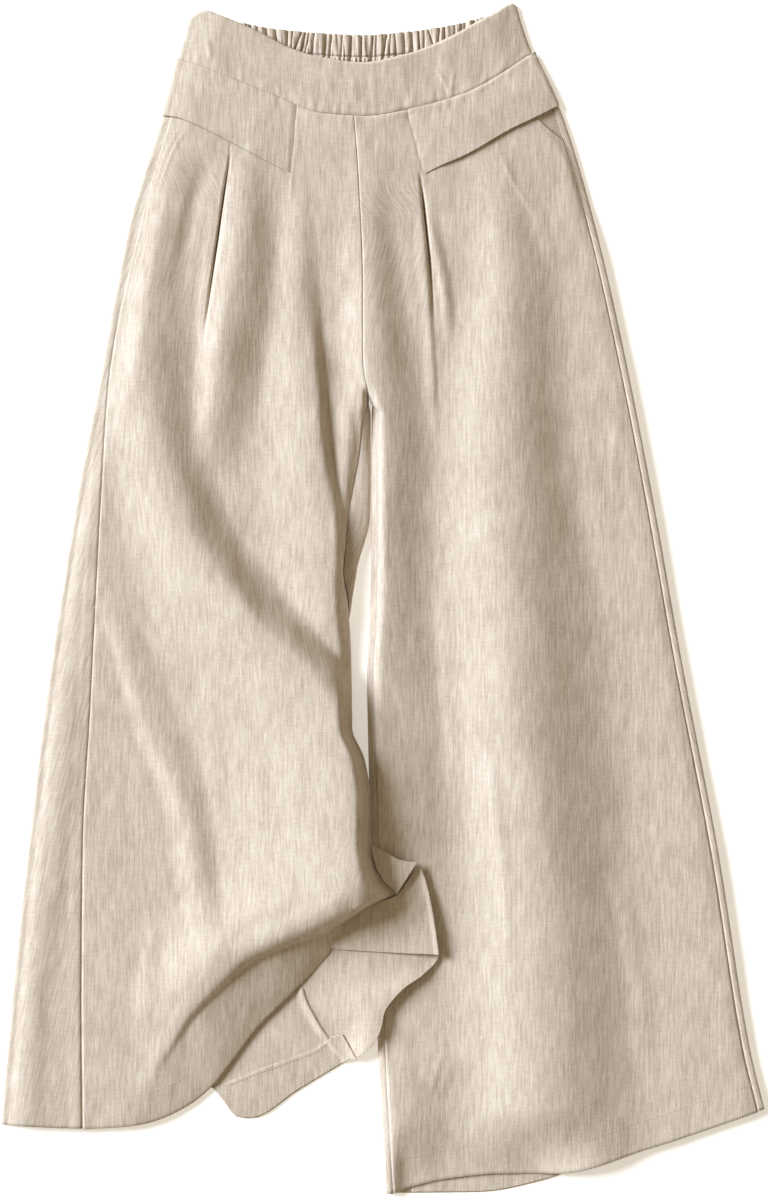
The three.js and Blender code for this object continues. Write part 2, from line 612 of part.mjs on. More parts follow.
function addBack(name, leg, hem) {
  const stations = backStations(leg).map((station) => {
    const place = (y) => station(y)[0];
    return { station, to: meet(place, hem) };
  });
  const rows = shares(ROWS).map((v) =>
    stations.map(({ station, to }) => {
      const y = rowAt(BACK_SEAM - GAP, to, v);
      const [x, z] = station(y);
      return new THREE.Vector3(x, y, z);
    }),
  );
  addPiece(name, leg.side > 0 ? rows.map((row) => row.reverse()) : rows);
}

addFront("front_leg_left", LEFT, leftFrontHem);
addFront("front_leg_right", RIGHT, rightFrontHem);
addBack("back_leg_left", LEFT, leftBackHem);
addBack("back_leg_right", RIGHT, rightBackHem);

// The front waistband rolls round both sides of the waist, down to the table.
function addFrontWaistband() {
  const lift = (BAND - CLOTH) / 2;
  const top = (x, y) => lofted(x, y, bandLeft(y), bandRight(y)) + lift;
  const bottomOf = (x) => bandBottom(x) + GAP;
  const curl = (edge, side, angle) => (y) => [
    edge(y) - side * EDGE * (1 - Math.cos(angle)),
    mix(BAND / 2, top(edge(y) - side * EDGE, y), (1 + Math.sin(angle)) / 2),
  ];
  const flat = (t) => (y) => {
    const x = mix(bandLeft(y) + EDGE, bandRight(y) - EDGE, t);
    return [x, top(x, y)];
  };
  const turns = [-90, -20, 35].map((degrees) => (degrees * Math.PI) / 180);
  const stations = [
    ...turns.map((angle) => curl(bandLeft, -1, angle)),
    ...shares(19).map(flat),
    ...turns.toReversed().map((angle) => curl(bandRight, 1, angle)),
  ];
  const columns = stations.map((station) => {
    const place = (y) => station(y)[0];
    return { station, from: meet(place, bandTop), to: meet(place, bottomOf) };
  });
  const rows = shares(4).map((v) =>
    columns.map(({ station, from, to }) => {
      const y = mix(from, to, v);
      const [x, z] = station(y);
      return new THREE.Vector3(x, y, z);
    }),
  );
  addPiece("front_waistband", rows, BAND);
}

// The back waistband lies on the table inside it, gathered by its elastic.
function addBackWaistband() {
  const { pitch, rise } = GATHER;
  const left = (y) => bandLeft(y) + EDGE + BAND + 1;
  const right = (y) => bandRight(y) - EDGE - BAND - 1;
  const gathers = Math.round((right(490) - left(490)) / pitch);
  const rows = panel({
    left,
    right,
    top: backTop,
    bottom: () => BACK_SEAM + GAP,
    across: shares(gathers * 4 + 1),
    down: shares(2),
    height: () => 0,
  });
  rows.forEach((row, i) =>
    row.forEach((point, j) => {
      const full = i === 0 ? 1.15 : mix(1, 0.8, i / rows.length);
      point.z = FLOOR + rise * full * (1 - Math.cos((j * Math.PI) / 2));
    }),
  );
  addPiece("back_waistband", rows);
}

// A hip flap, sewn to the waistband and to its own inner seam, lies on the front of the leg
// and turns over the rolled side.
function addFlap(name, leg, inner, edge) {
  const s = leg.side;
  const reach = EDGE + LAYER + GAP;
  const turnAt = (y) => leg.edge(y) - s * EDGE;
  const over = (x, y) => {
    const turn = clamp((s * (x - turnAt(y))) / reach);
    const top = bridged(x, y, leg);
    const half = (top - FLOOR) / 2;
    return FLOOR + half + (half + LAYER + 2 * GAP) * Math.sqrt(1 - turn ** 2);
  };
  const outer = (y) => turnAt(y) + s * reach * 0.94;
  const flat = shares(13).map((u) => 0.055 + 0.945 * u);
  const across = [0, 0.012, 0.03, ...flat];
  const rows = panel({
    left: s < 0 ? outer : inner,
    right: s < 0 ? inner : outer,
    top: (x) => bandBottom(x) - GAP,
    bottom: edge,
    across: s < 0 ? across : across.map((u) => 1 - u).reverse(),
    down: shares(6),
    height: over,
  });
  addPiece(name, rows);
}

// Where the right front is cut away for its slant pocket, the pocket's facing shows beneath.
function addPocketFacing() {
  const rows = panel({
    left: (y) => RIGHT.frontOuter(y) - 5,
    right: (y) => RIGHT.seam(y) - GAP / 2,
    top: (x) => 436 + 0.1 * (x - 140),
    bottom: () => 398,
    across: shares(9),
    down: shares(9),
    height: (x, y) => frontHeight(x, y, RIGHT) - LAYER - mix(3, 1.5, smooth((y - 410) / 16)) * GAP,
  });
  addPiece("pocket_facing_right", rows);
}

// Below its fold the left leg's inner corner spills over the right leg in three layers.
// The lowest runs from the inseam to a folded rim.
const rim = upright(
  [-296, 47], [-314, 48], [-330, 35], [-341, 19], [-352, 8], [-363, 0.5], [-378, -3], [-392, -10],
  [-405, -25],
);
const cornerLeft = (y) => LEFT.inner(y) + GAP;
function cornerHeight(x, y) {
  const u = clamp((x - cornerLeft(y)) / (rim(y) - cornerLeft(y)));
  const low = 22 * smooth((-352 - y) / 40);
  const level = mix(FLOOR + LAYER, bed(x, y), smooth((x + 60 - low) / (46 - low)));
  const lift = smooth((u - 0.4) / 0.6) * smooth((-318 - y) / 26) * smooth((y + 408) / 26);
  return level + 4.5 * lift;
}
function addInnerCorner() {
  const rows = panel({
    left: cornerLeft,
    right: rim,
    top: (x) => mix(-322, -301, clamp((x + 78) / 30)),
    bottom: (x) => mix(-406, -403.5, (x + 31) / 6),
    across: shares(14),
    down: shares(9),
    height: cornerHeight,
  });
  addPiece("front_leg_left_inner_corner", rows, CLOTH, LINEN_INSIDE);
}

// The middle one turns back, wrong side up, from under the crest of the fold.
function turnedHeight(x, y) {
  const off = smooth((x + 10) / 56) * smooth((-y - 245) / 60);
  const level = bed(mix(x, 46, 0.7 * smooth((x + 40) / 30)), y);
  const tucked = 6 * (1 - smooth((x + 46) / 21));
  return level + LAYER + 2 * GAP + 3 * off - tucked;
}
function addTurnedCorner() {
  const top = outline([-46, -290], [-30, -282], [-11, -269.5], [9.5, -261.5], [20, -249], [29, -233.5]);
  const bottom = outline([-46, -308], [0, -311], [47, -313]);
  const right = upright([-232, 30], [-245, 35.5], [-262, 40], [-290, 45], [-312, 48]);
  const rows = panel({
    left: () => -44,
    right,
    top,
    bottom,
    across: shares(11),
    down: shares(6),
    height: turnedHeight,
  });
  addPiece("front_leg_left_turned_corner", rows, CLOTH, LINEN_INSIDE);
}

// The last is a small peak of the outer face, between the fold's flank and its crest.
function addPeak() {
  const rows = panel({
    left: (y) => LEFT.front(y) + 0.8,
    right: (y) => mix(9.8, 28.6, clamp((y + 261) / 29)),
    top: outline([-12, -216], [0, -222], [14, -229.5], [29, -232]),
    bottom: () => -260,
    across: shares(5),
    down: shares(6),
    height: (x, y) => turnedHeight(x, y) + LAYER + 1.3 + 3 * smooth((x + 10) / 34),
  });
  addPiece("front_leg_left_peak", rows);
}

// Turned-up hems and the inseam allowance, where the inside of a back leg shows.
function addBackHem(name, { left, right, top, hem, columns, height = () => FLOOR + LAYER }) {
  const rows = panel({
    left,
    right,
    top,
    bottom: (x) => hem(x) + 1.2,
    across: shares(columns),
    down: shares(3),
    height,
  });
  addPiece(name, rows, CLOTH, LINEN_INSIDE);
}

addFrontWaistband();
addBackWaistband();
addFlap("hip_flap_left", LEFT, (y) => mix(-81.5, -76, (y - 374) / 62), leftFlapEdge);
addFlap("hip_flap_right", RIGHT, (y) => mix(34, 19, (y - 371) / 58), rightFlapEdge);
addPocketFacing();
addInnerCorner();
addTurnedCorner();
addPeak();
addBackHem("back_hem_left", {
  left: () => -140,
  right: (y) => -36.6 + 0.58 * (-384 - y),
  top: leftBackHemTop,
  hem: leftBackHem,
  columns: 11,
  height: (x, y) =>
    mix(FLOOR + LAYER, cornerHeight(x, y) + LAYER + GAP, smooth((x - LEFT.inner(y) + 8) / 6)),
});
addBackHem("back_hem_right", {
  left: () => 24,
  right: () => 300,
  top: (x) => rightBackHem(x) + HEM,
  hem: rightBackHem,
  columns: 13,
});

export default garment;
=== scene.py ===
"""Wide-legged linen trousers laid flat, front up, with the left leg pushed into a rolling fold.

Every piece of cloth is a grid of points worked out from outlines, seams and folds in
millimetres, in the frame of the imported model: +Y towards the waist, +X towards the right leg,
+Z up from the table. A piece goes into its mesh in metres and is finished as a thin shell.
"""

import math

import bpy
import numpy as np
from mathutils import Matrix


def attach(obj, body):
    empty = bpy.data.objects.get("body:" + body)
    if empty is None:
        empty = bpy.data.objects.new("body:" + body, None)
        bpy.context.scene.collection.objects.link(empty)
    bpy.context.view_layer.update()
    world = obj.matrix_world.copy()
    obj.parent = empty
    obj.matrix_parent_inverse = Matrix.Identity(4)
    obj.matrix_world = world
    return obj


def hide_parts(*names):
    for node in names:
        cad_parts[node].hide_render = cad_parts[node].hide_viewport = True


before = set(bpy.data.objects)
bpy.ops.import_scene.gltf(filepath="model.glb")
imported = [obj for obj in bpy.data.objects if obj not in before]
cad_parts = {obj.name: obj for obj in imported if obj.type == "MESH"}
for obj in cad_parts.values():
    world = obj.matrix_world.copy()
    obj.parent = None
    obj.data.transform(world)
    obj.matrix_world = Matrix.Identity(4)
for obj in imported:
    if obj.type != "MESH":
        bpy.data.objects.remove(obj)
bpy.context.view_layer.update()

# ---- sizes, in millimetres
MM = 0.001  # metres in a millimetre
CLOTH = 1.2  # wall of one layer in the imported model
SHELL = 0.8  # wall of one layer of washed linen as it is drawn
BAND = 1.4  # wall of the doubled waistband as it is drawn
GAP = 0.3  # clearance between layers
LAYER = CLOTH + GAP  # step from one layer to the next
LOFT = 10.5  # middle of the front layer above the table along its centre line
LEFT_LOFT = 7  # beside its left side
RIGHT_LOFT = 6.5  # beside its right side
EDGE_LOFT = 4  # and where it rolls over either side
FLOOR = CLOTH / 2  # middle of the back layer, which lies on the table
EDGE = 5  # how far a rolled side curls in
FLAP_PRESS = 1.8  # how far a hip flap presses the front down
CREASED_EDGE = 1.8  # where it is pressed sharper, down the right leg
INNER_EDGE = 3  # and on the inner sides
HEM_REST = 3.4  # middle of the right front where its hem lies on the back
HEM = 24  # depth of a turned-up hem
CROTCH = 172  # where the two inside edges part
BACK_SEAM = 471  # where the back legs meet the elastic waistband


def add_object(name, data):
    """An object at the origin for a camera, light or mesh, linked to the scene."""
    made = bpy.data.objects.new(name, data)
    bpy.context.scene.collection.objects.link(made)
    return made


# ---- camera, straight above
def add_camera():
    """A long lens looks straight down, far enough away for the view's length to fill it."""
    view_length = 1.056
    height = 3.6
    camera = bpy.data.cameras.new("camera")
    camera.sensor_width = 36
    camera.lens = camera.sensor_width * height / view_length
    holder = add_object("camera", camera)
    holder.location = (-0.0004, -0.0018, height)
    bpy.context.scene.camera = holder


add_camera()


# ---- small helpers
def mix(a, b, t):
    return a + (b - a) * t


def clamp(t):
    return np.clip(t, 0, 1)


def smooth(t):
    """0 below t = 0, 1 above t = 1 and an S-shaped rise between."""
    t = clamp(t)
    return t * t * (3 - 2 * t)


def bell(offset, left, right=None):
    """A cosine bell: 1 at no offset and 0 at a half width, with its own half width on each side."""
    right = left if right is None else right
    t = clamp(np.abs(offset) / np.where(offset < 0, left, right))
    return 0.5 + 0.5 * np.cos(math.pi * t)


def hill(t):
    """A round hill: 1 at t = 0, and next to nothing beyond 2 on either side."""
    return np.exp(-(t**2))


def rounded(inside, width):
    """A quarter circle that rises from 0 at an edge to 1 at a width inside it."""
    t = 1 - clamp(inside / width)
    return np.sqrt(clamp(1 - t * t))


def table(names, *rows):
    """A short table with named columns, each an array."""
    values = np.array(rows, float)
    return {name: values[:, i] for i, name in enumerate(names.split())}


def curve(rows, by, key):
    """A smooth function through column key of a table against column by, level beyond both ends.

    The slope at a row is the harmonic mean of the chords beside it, or 0 at a turning point, and
    a cubic joins the rows, so the curve never overshoots them."""
    order = np.argsort(rows[by])
    at, value = rows[by][order], rows[key][order]
    chord = np.diff(value) / np.diff(at)
    before, after = np.r_[chord[0], chord], np.r_[chord, chord[-1]]
    same = before * after > 0
    total = np.where(same, before + after, 1)
    slope = np.where(same, 2 * before * after / total, 0)

    def through(t):
        t = np.clip(np.asarray(t, float), at[0], at[-1])
        i = np.clip(np.searchsorted(at, t, "right") - 1, 0, len(chord) - 1)
        span = at[i + 1] - at[i]
        s = (t - at[i]) / span
        bend = (1 - s) * (slope[i] - chord[i]) - s * (slope[i + 1] - chord[i])
        return mix(value[i], value[i + 1], s) + span * s * (1 - s) * bend

    return through


def outline(*rows):
    """An edge seen from above, as y against x."""
    return curve(table("x y", *rows), "x", "y")


def upright(*rows):
    """An edge seen from above, as x against y."""
    return curve(table("y x", *rows), "y", "x")


def level(value):
    """An edge seen from above that stays at one value."""
    return lambda t: value + 0 * t


def trail(points, count=64):
    """A smooth path through a few points: cubics whose slope at a point is half the step between
    its neighbours. Gives the points along it and how far along each lies, from 0 to 1."""
    p = np.array(points, float)
    slope = np.gradient(p, axis=0)
    t = np.linspace(0, len(p) - 1, count)
    i = np.minimum(t.astype(int), len(p) - 2)
    s = (t - i)[:, None]
    a, b, c, d = p[i], slope[i], p[i + 1], slope[i + 1]
    place = (
        a * (1 + 2 * s) * (1 - s) ** 2 + c * s * s * (3 - 2 * s)
        + b * s * (1 - s) ** 2 - d * s * s * (1 - s)
    )
    reach = np.r_[0, np.cumsum(np.linalg.norm(np.diff(place, axis=0), axis=1))]
    return place, reach / reach[-1]


def along(path, x, y):
    """How far along a path its nearest place lies, and the distance to its right-hand side as one
    walks it, for every point."""
    place, share = path
    flat = np.stack([np.ravel(x), np.ravel(y)], axis=1)
    gap = ((flat[:, None, :] - place[None, :, :]) ** 2).sum(axis=2)
    near = gap.argmin(axis=1)
    way = np.gradient(place, axis=0)
    way /= np.linalg.norm(way, axis=1)[:, None]
    step = flat - place[near]
    forward = (step * way[near]).sum(axis=1)
    right = step[:, 0] * way[near, 1] - step[:, 1] * way[near, 0]
    length = np.linalg.norm(np.diff(place, axis=0), axis=1).sum()
    return (share[near] + forward / length).reshape(np.shape(x)), right.reshape(np.shape(x))


def wander(x, y, across, down, seed):
    """Smooth random heights from -1 to 1 whose swells are across wide and down long."""
    lattice = np.random.default_rng(seed).uniform(-1, 1, (96, 96))
    u, v = x / across + 1000, y / down + 1000
    i, j = np.floor(u).astype(int), np.floor(v).astype(int)
    s, t = smooth(u - i), smooth(v - j)

    def at(a, b):
        return lattice[(i + a) % 96, (j + b) % 96]

    return mix(mix(at(0, 0), at(1, 0), s), mix(at(0, 1), at(1, 1), s), t)


# ---- outlines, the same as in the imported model
LEFT_SIDE = table(
    "y edge seam",
    (478, -180, -172), (422, -195, -188), (331, -223, -214), (190, -250, -242), (86, -270, -249),
    (-90, -297, -258), (-222, -313, -265), (-354, -327, -266), (-466, -337, -265),
)
RIGHT_SIDE = table(
    "y edge",
    (478, 132), (422, 157), (331, 184), (223, 209), (86, 236), (-55, 261), (-222, 293), (-396, 321),
    (-450, 334),
)
LEFT_INSIDE = table(
    "y edge seam front roll",
    (188, -15.6, -15.6, -15.6, 0), (172, -12.6, -14.6, -14.6, 0.6), (161, -12.6, -18.2, -18.2, 1),
    (150, -12.6, -19.2, -19.6, 1), (132, -12.6, -20.9, -21.2, 1), (106, -12.6, -25.2, -25.5, 1),
    (86, -12.8, -29.1, -29.4, 1), (66, -13.6, -32, -32.4, 1), (50, -17.5, -33.5, -34, 1),
    (24, -24.5, -35.5, -36.4, 1), (-4, -27, -36, -32.5, 0.5), (-50, -36, -38, -29.5, 0),
    (-113, -38, -40, -28.5, 0), (-143, -42, -44, -17, 0), (-178, -47, -49, -12, 0),
    (-216, -54, -56, -12, 0), (-235, -58, -60, -8.4, 0), (-248, -61, -63, -1.3, 0),
    (-260, -63, -65, 9.2, 0), (-339, -72, -74, 9.2, 0), (-376, -57, -59, 9.2, 0),
    (-406, -31, -33, 9.2, 0),
)
RIGHT_INSIDE = table(
    "y edge seam roll",
    (188, -15.6, -15.6, 0), (172, -12, -11.4, 0.6), (161, -10.8, -5.8, 1), (90, -10.7, -5.6, 1),
    (38, -11.2, -5.7, 1), (-10, -12.2, -6.6, 1), (-70, -15, -9.4, 1), (-98, -14.6, -8.8, 1),
    (-380, -6, 0, 1), (-523, 1.5, 7.5, 1),
)
centre = upright((422, -26.5), (376, -23), (276, -18.8), (209, -18.6), (195, -17.2), (180, -13.6))
pocket_slit = upright((424, 131), (409, 148), (400, 160), (386, 170), (340, 420))
band_left = upright((472, -181), (490, -176), (508, -171), (523, -168))
band_right = upright((472, 132), (490, 125), (508, 119), (523, 115))
band_top = outline(
    (-176, 500), (-169, 510), (-162, 515), (-156, 516), (-148, 513), (-133, 507), (-112, 497.5),
    (-80, 481.5), (-60, 475.5), (-20, 469.8), (20, 477.5), (40, 484.5), (60, 493.5), (80, 505),
    (100, 516), (108, 521), (112, 522.5), (116, 520),
)
band_bottom = outline(
    (-182, 474.5), (-150, 463), (-100, 443), (-54, 426), (-15, 423.5), (20, 429), (70, 443), (105, 462),
    (131, 480),
)
back_top = outline(
    (-165, 508), (-133, 506.5), (-100, 501), (-60, 497), (-20, 495), (20, 498), (60, 504), (88, 511),
    (112, 517),
)
left_flap_edge = outline(
    (-196, 424), (-184, 422.5), (-164, 415), (-136, 401), (-108, 386), (-83, 373)
)
right_flap_edge = outline((34, 371), (47, 378), (72, 389), (112, 412), (132, 421.5), (156, 434))
right_front_hem = outline(
    (2, -523), (50, -511), (100, -505.5), (150, -505), (233, -483), (340, -447)
)
right_back_hem = outline(
    (2, -523.4), (84, -522.5), (140, -512), (170, -501.5), (233, -483), (340, -447)
)
left_front_hem = outline(
    (-266, -466), (-225, -463.5), (-205, -460), (-175, -447), (-153, -430), (-130, -401), (-112, -377),
    (-96, -361), (-69, -334), (-50, -313), (-43, -300), (-38, -290), (-28, -279), (-11, -268), (9.2, -260),
)
left_back_hem = outline(
    (-337, -463), (-266, -466), (-206, -446), (-172, -422), (-150, -432), (-129, -457),
    (-118, -458), (-74, -432), (-31, -406),
)
back_hem_top = outline(
    (-152, -431), (-140, -427), (-108, -414), (-80, -404), (-60, -396), (-50, -389), (-42, -384.5),
    (-36, -383.5),
)
crest = outline(
    (-208, -425), (-188, -398), (-171, -371), (-147, -345), (-118, -319), (-83, -303),
    (-48, -290), (-11, -268), (9, -260),
)


def above_crotch(y):
    return smooth((y - CROTCH) / 16)


class Leg:
    """One leg's edges and seams, each a function that gives x at a height y on the garment.
    from_x and to_x are the two sides of its front panel, and turn is how far its side curls in."""

    def __init__(self, side, outer_rows, inner_rows):
        self.side = side
        self.edge = curve(outer_rows, "y", "edge")
        self.inner = curve(inner_rows, "y", "edge")
        self.inseam = curve(inner_rows, "y", "seam")
        self.roll = curve(inner_rows, "y", "roll")
        self.turn = lambda y: mix(EDGE if side < 0 else CREASED_EDGE, EDGE, smooth((y - 300) / 60))


LEFT = Leg(-1, LEFT_SIDE, LEFT_INSIDE)
LEFT.seam = curve(LEFT_SIDE, "y", "seam")
LEFT.front = curve(LEFT_INSIDE, "y", "front")
LEFT.from_x = lambda y: LEFT.seam(y)
LEFT.to_x = lambda y: mix(LEFT.front(y), centre(y), above_crotch(y))
RIGHT = Leg(1, RIGHT_SIDE, RIGHT_INSIDE)
RIGHT.seam = lambda y: RIGHT.edge(y) - EDGE - 1
RIGHT.from_x = lambda y: mix(RIGHT.inseam(y), centre(y), above_crotch(y))
RIGHT.to_x = lambda y: np.minimum(pocket_slit(y), RIGHT.seam(y))


def left_flap_seam(y):
    return mix(-81.5, -76, (y - 374) / 62)


def right_flap_seam(y):
    return mix(34, 19, (y - 371) / 58)


# ---- main folds of the front layer
# Each ridge runs down the cloth: at y its line is at x, with a half width to the left and right,
# and it stands so high above the cloth beside it. A steep one drops suddenly to its right.
RIDGE = "y x left right rise"
STEEP_RIDGE = RIDGE + " steep"
RIDGES = [
    # left leg: beside the outer tuck
    table(
        RIDGE,
        (400, -122, 20, 26, 0), (330, -128, 26, 34, 6.5), (262, -136, 28, 50, 10.5),
        (209, -144, 24, 44, 9), (157, -148, 24, 38, 5.5), (105, -156, 22, 30, 0),
    ),
    # left leg: inside of the thigh, which drops steeply to the strip along the inseam
    table(
        STEEP_RIDGE,
        (370, -76, 14, 14, 0, 0), (315, -77, 20, 20, 2.5, 0), (262, -76, 30, 22, 5, 0.3),
        (209, -70, 40, 18, 7, 1), (139, -64, 52, 18, 9, 1), (69, -54, 62, 19, 10, 1),
        (-2, -50, 44, 20, 8, 1), (-40, -46, 24, 18, 3, 1), (-80, -40, 10, 10, 0, 1),
    ),
    # left leg: the strip along the inseam
    table(
        RIDGE,
        (200, -30, 18, 12, 0), (150, -31, 17, 12, 3.5), (110, -34, 15, 10, 3.5),
        (60, -38, 12, 8, 2), (20, -40, 10, 8, 0),
    ),
    # centre of the front, then down the inside of the right leg
    table(
        RIDGE,
        (400, -14, 30, 24, 0), (330, -14, 34, 26, 3), (280, -12, 34, 30, 6),
        (230, -11, 34, 40, 8.5), (180, -8, 30, 46, 9), (139, -5, 20, 50, 9), (60, -4, 20, 50, 9),
        (0, -3, 20, 52, 8.5), (-50, -3, 20, 56, 7), (-107, -3, 20, 66, 4.5), (-180, 0, 20, 80, 2),
        (-240, 2, 20, 96, 1), (-370, 4, 20, 112, 1.5), (-430, 4, 24, 120, 2.5),
        (-510, 7, 24, 120, 2.5),
    ),
    # right leg: pressed down where the corner of the left leg lies on it
    table(
        RIDGE,
        (-190, 0, 24, 60, 0), (-240, 0, 24, 90, -5), (-385, 0, 24, 90, -5), (-425, 2, 20, 60, 0),
    ),
    # right leg: hollow beside the thigh, from the knee towards the hem
    table(
        RIDGE,
        (-60, 60, 40, 30, 0), (-150, 62, 46, 36, -2), (-250, 70, 54, 46, -3),
        (-400, 70, 56, 46, -3.2), (-510, 70, 54, 46, -3.2),
    ),
    # right leg: thigh
    table(
        RIDGE,
        (400, 96, 30, 30, 0), (330, 106, 38, 34, 5), (280, 109, 42, 48, 8), (174, 106, 62, 62, 11),
        (104, 108, 68, 67, 13), (33, 110, 70, 77, 15), (-37, 115, 74, 90, 17),
        (-107, 118, 74, 94, 18), (-178, 128, 74, 92, 17), (-250, 138, 86, 82, 14),
        (-320, 142, 92, 84, 13.5), (-440, 145, 94, 88, 13.5),
    ),
    # right leg: side
    table(
        RIDGE,
        (400, 160, 30, 20, 0), (330, 176, 30, 14, 0.8), (209, 203, 34, 16, 0.8),
        (69, 230, 38, 20, 0.8), (-90, 258, 46, 20, 1), (-222, 283, 52, 20, 1),
        (-440, 320, 54, 20, 1),
    ),
    # left leg: shin
    table(
        RIDGE,
        (0, -246, 14, 22, 0), (-50, -226, 15, 28, 2.6), (-107, -208, 18, 40, 3.2),
        (-178, -177, 22, 28, 6), (-240, -165, 21, 24, 5), (-300, -157, 20, 22, 1.6),
        (-330, -154, 18, 18, 0),
    ),
    # left leg: outer edge
    table(
        RIDGE,
        (10, -262, 14, 16, 0), (-90, -279, 16, 20, 1.6), (-250, -300, 18, 26, 2.2),
        (-354, -314, 16, 26, 2.4), (-440, -322, 14, 26, 2.4),
    ),
]
# Tucks pressed in below the waistband: leg, share of its width, top, widest, low end, half width,
# depth
TUCKS = [
    (LEFT, 0.36, 384, 345, 205, 1.9, 10.8),
    (RIGHT, 0.285, 366, 335, 236, 2.1, 10.5),
]
# The rolling fold of the left leg, from the hip down: its line x at each y, half width to the
# left, distance to its foot on the right, rise, and how steeply it drops to the foot.
FOLD = table(
    STEEP_RIDGE,
    (400, -189, 24, 30, 0, 0), (333, -205, 34, 42, 4.2, 0), (271, -213, 42, 54, 6.5, 0),
    (209, -211, 48, 48, 8.5, 0), (148, -200, 52, 42, 10, 0), (104, -188, 56, 42, 11.5, 0),
    (69, -176, 62, 43, 13.5, 0), (33, -158, 72, 51, 16.5, 0), (-2, -131, 90, 54, 19, 0),
    (-37, -97, 112, 46, 21.5, 0.3), (-72, -59, 134, 33, 23.5, 0.6), (-107, -41, 142, 20, 24, 1),
    (-143, -34, 142, 24, 25.5, 1), (-213, -33, 140, 25, 27.5, 1), (-248, -34, 134, 40, 30, 1),
    (-283, -72, 126, 100, 25, 0.6), (-318, -140, 78, 100, 15.5, 0), (-354, -176, 50, 70, 8, 0),
    (-389, -186, 30, 50, 3.5, 0), (-424, -190, 24, 50, 1, 0), (-450, -190, 24, 50, 0, 0),
)
# Over the crest the fold rolls down within a width, onto the part of the front below it, which
# stands so high above the cloth beside it at the crest and droops so far at its hem.
roll_width = outline((-200, 24), (-150, 38), (-105, 62), (-75, 56), (-30, 9))
apron_rise = outline((-225, 0), (-190, 2), (-150, 6), (-110, 8), (-70, 8), (-45, 4), (-30, 0))
apron_droop = outline((-230, 0), (-190, 3.5), (-150, 5.5), (-60, 5.8), (-45, 3), (-30, 0))


def lines(rows):
    """The columns of a fold's table as functions of y."""
    return {key: curve(rows, "y", key) for key in rows if key != "y"}


ridges = [lines(rows) for rows in RIDGES]
fold = lines(FOLD)


def ridge_height(ridge, x, y):
    """A bell across the ridge's line. Where it is steep its right side stays high and then drops."""
    offset = x - ridge["x"](y)
    across = bell(offset, ridge["left"](y), ridge["right"](y))
    if "steep" in ridge:
        cliff = bell(clamp(offset / ridge["right"](y)) ** 2.4, 1)
        across = mix(across, np.where(offset > 0, cliff, across), ridge["steep"](y))
    return ridge["rise"](y) * across


def tuck_depth(tuck, leg, x, y):
    """A narrow trough at a share of the panel's width, closed at its top, open at its widest place
    and running out at its low end."""
    owner, share, top, wide, low, half, depth = tuck
    if owner is not leg:
        return 0
    middle = mix(leg.from_x(y), leg.to_x(y), share)
    opened = smooth((y - low) / (wide - low)) * (1 - 0.85 * smooth((y - wide) / (top - wide)))
    opened = opened * (1 - smooth((y - top) / 10))
    return depth * opened * bell(x - middle, half, half)


def bed(x, y):
    """Height of a layer that lies on the right leg, and keeps level to the left of its edge."""
    return front_height(np.maximum(x, 6), y, RIGHT) + LAYER + GAP


def clear_of_right(x, y):
    """Height of a layer that climbs from the table onto the right leg."""
    return mix(FLOOR + LAYER, bed(x, y), smooth((x + 56) / 44))


def climb(inside, width):
    """A quarter sine that rises from 0 at an edge to 1 at a width inside it."""
    return np.sin(math.pi / 2 * clamp(inside / width))


def loose(y):
    """Below the knee the left front lies free of its inseam."""
    return smooth((30 - y) / 60)


def lofted(x, y, left, right):
    """Middle of the front layer without folds: highest along the centre line, and it comes down to
    the rolled side at left and at right."""
    middle = -20
    across = np.where(
        x < middle,
        mix(LEFT_LOFT, LOFT, (x - left) / (middle - left)),
        mix(LOFT, RIGHT_LOFT, (x - middle) / (right - middle)),
    )
    left_roll = climb(x - left - EDGE, mix(10, 24, smooth((y - 60) / 120)))
    right_roll = climb(right - EDGE - x, mix(7, 28, smooth((y - 380) / 60)))
    low = np.where(x < middle, EDGE_LOFT, mix(RIGHT_LOFT, EDGE_LOFT, smooth((y - 300) / 60)))
    return mix(low, across, np.minimum(left_roll, right_roll))


def past_left_side(x, y):
    """Folds fade out towards the rolled left side."""
    return smooth((x - LEFT.edge(y) - EDGE) / 26)


def bridged(x, y, leg):
    """The front layer above the table with its ridges, faded out at the rolled sides, but without
    its tucks: a flap bridges them."""
    ridge = sum(ridge_height(ridge, x, y) for ridge in ridges)
    sides = past_left_side(x, y) * smooth((RIGHT.edge(y) - EDGE - x) / 12)
    free = above_crotch(y) if leg is RIGHT else np.maximum(above_crotch(y), loose(y))
    calm = mix(climb((leg.inseam(y) - x) * -leg.side + 2, 8), 1, free)
    low = 0.35 if leg is LEFT else 0.6
    inside = (leg.inner(y) - x) * -leg.side - INNER_EDGE
    rolled = mix(mix(low, 1, climb(inside, 4)), 1, free)
    flat = lofted(x, y, LEFT.edge(y), RIGHT.edge(y))
    return EDGE_LOFT + (flat - EDGE_LOFT) * rolled + sides * calm * ridge


def swell(x, y):
    """The left leg's rolling fold: a bell to the left of its line, a steeper drop to the right,
    rolled over down to its lower crest."""
    offset = x - fold["x"](y)
    t = clamp(offset / fold["right"](y))
    steep = 0.5 + 0.5 * np.cos(math.pi * t**2.4)
    soft = bell(offset, fold["left"](y), fold["right"](y))
    ramp = 0.5 * soft + 0.5 * (1 - clamp(-offset / fold["left"](y)))
    across = mix(soft, np.where(offset > 0, steep, ramp), fold["steep"](y))
    above = y - crest(x) + 3
    roll = 0.55 * climb(above, roll_width(x)) + 0.45 * rounded(above, np.minimum(roll_width(x), 14))
    return fold["rise"](y) * across * roll * smooth(above / 6)


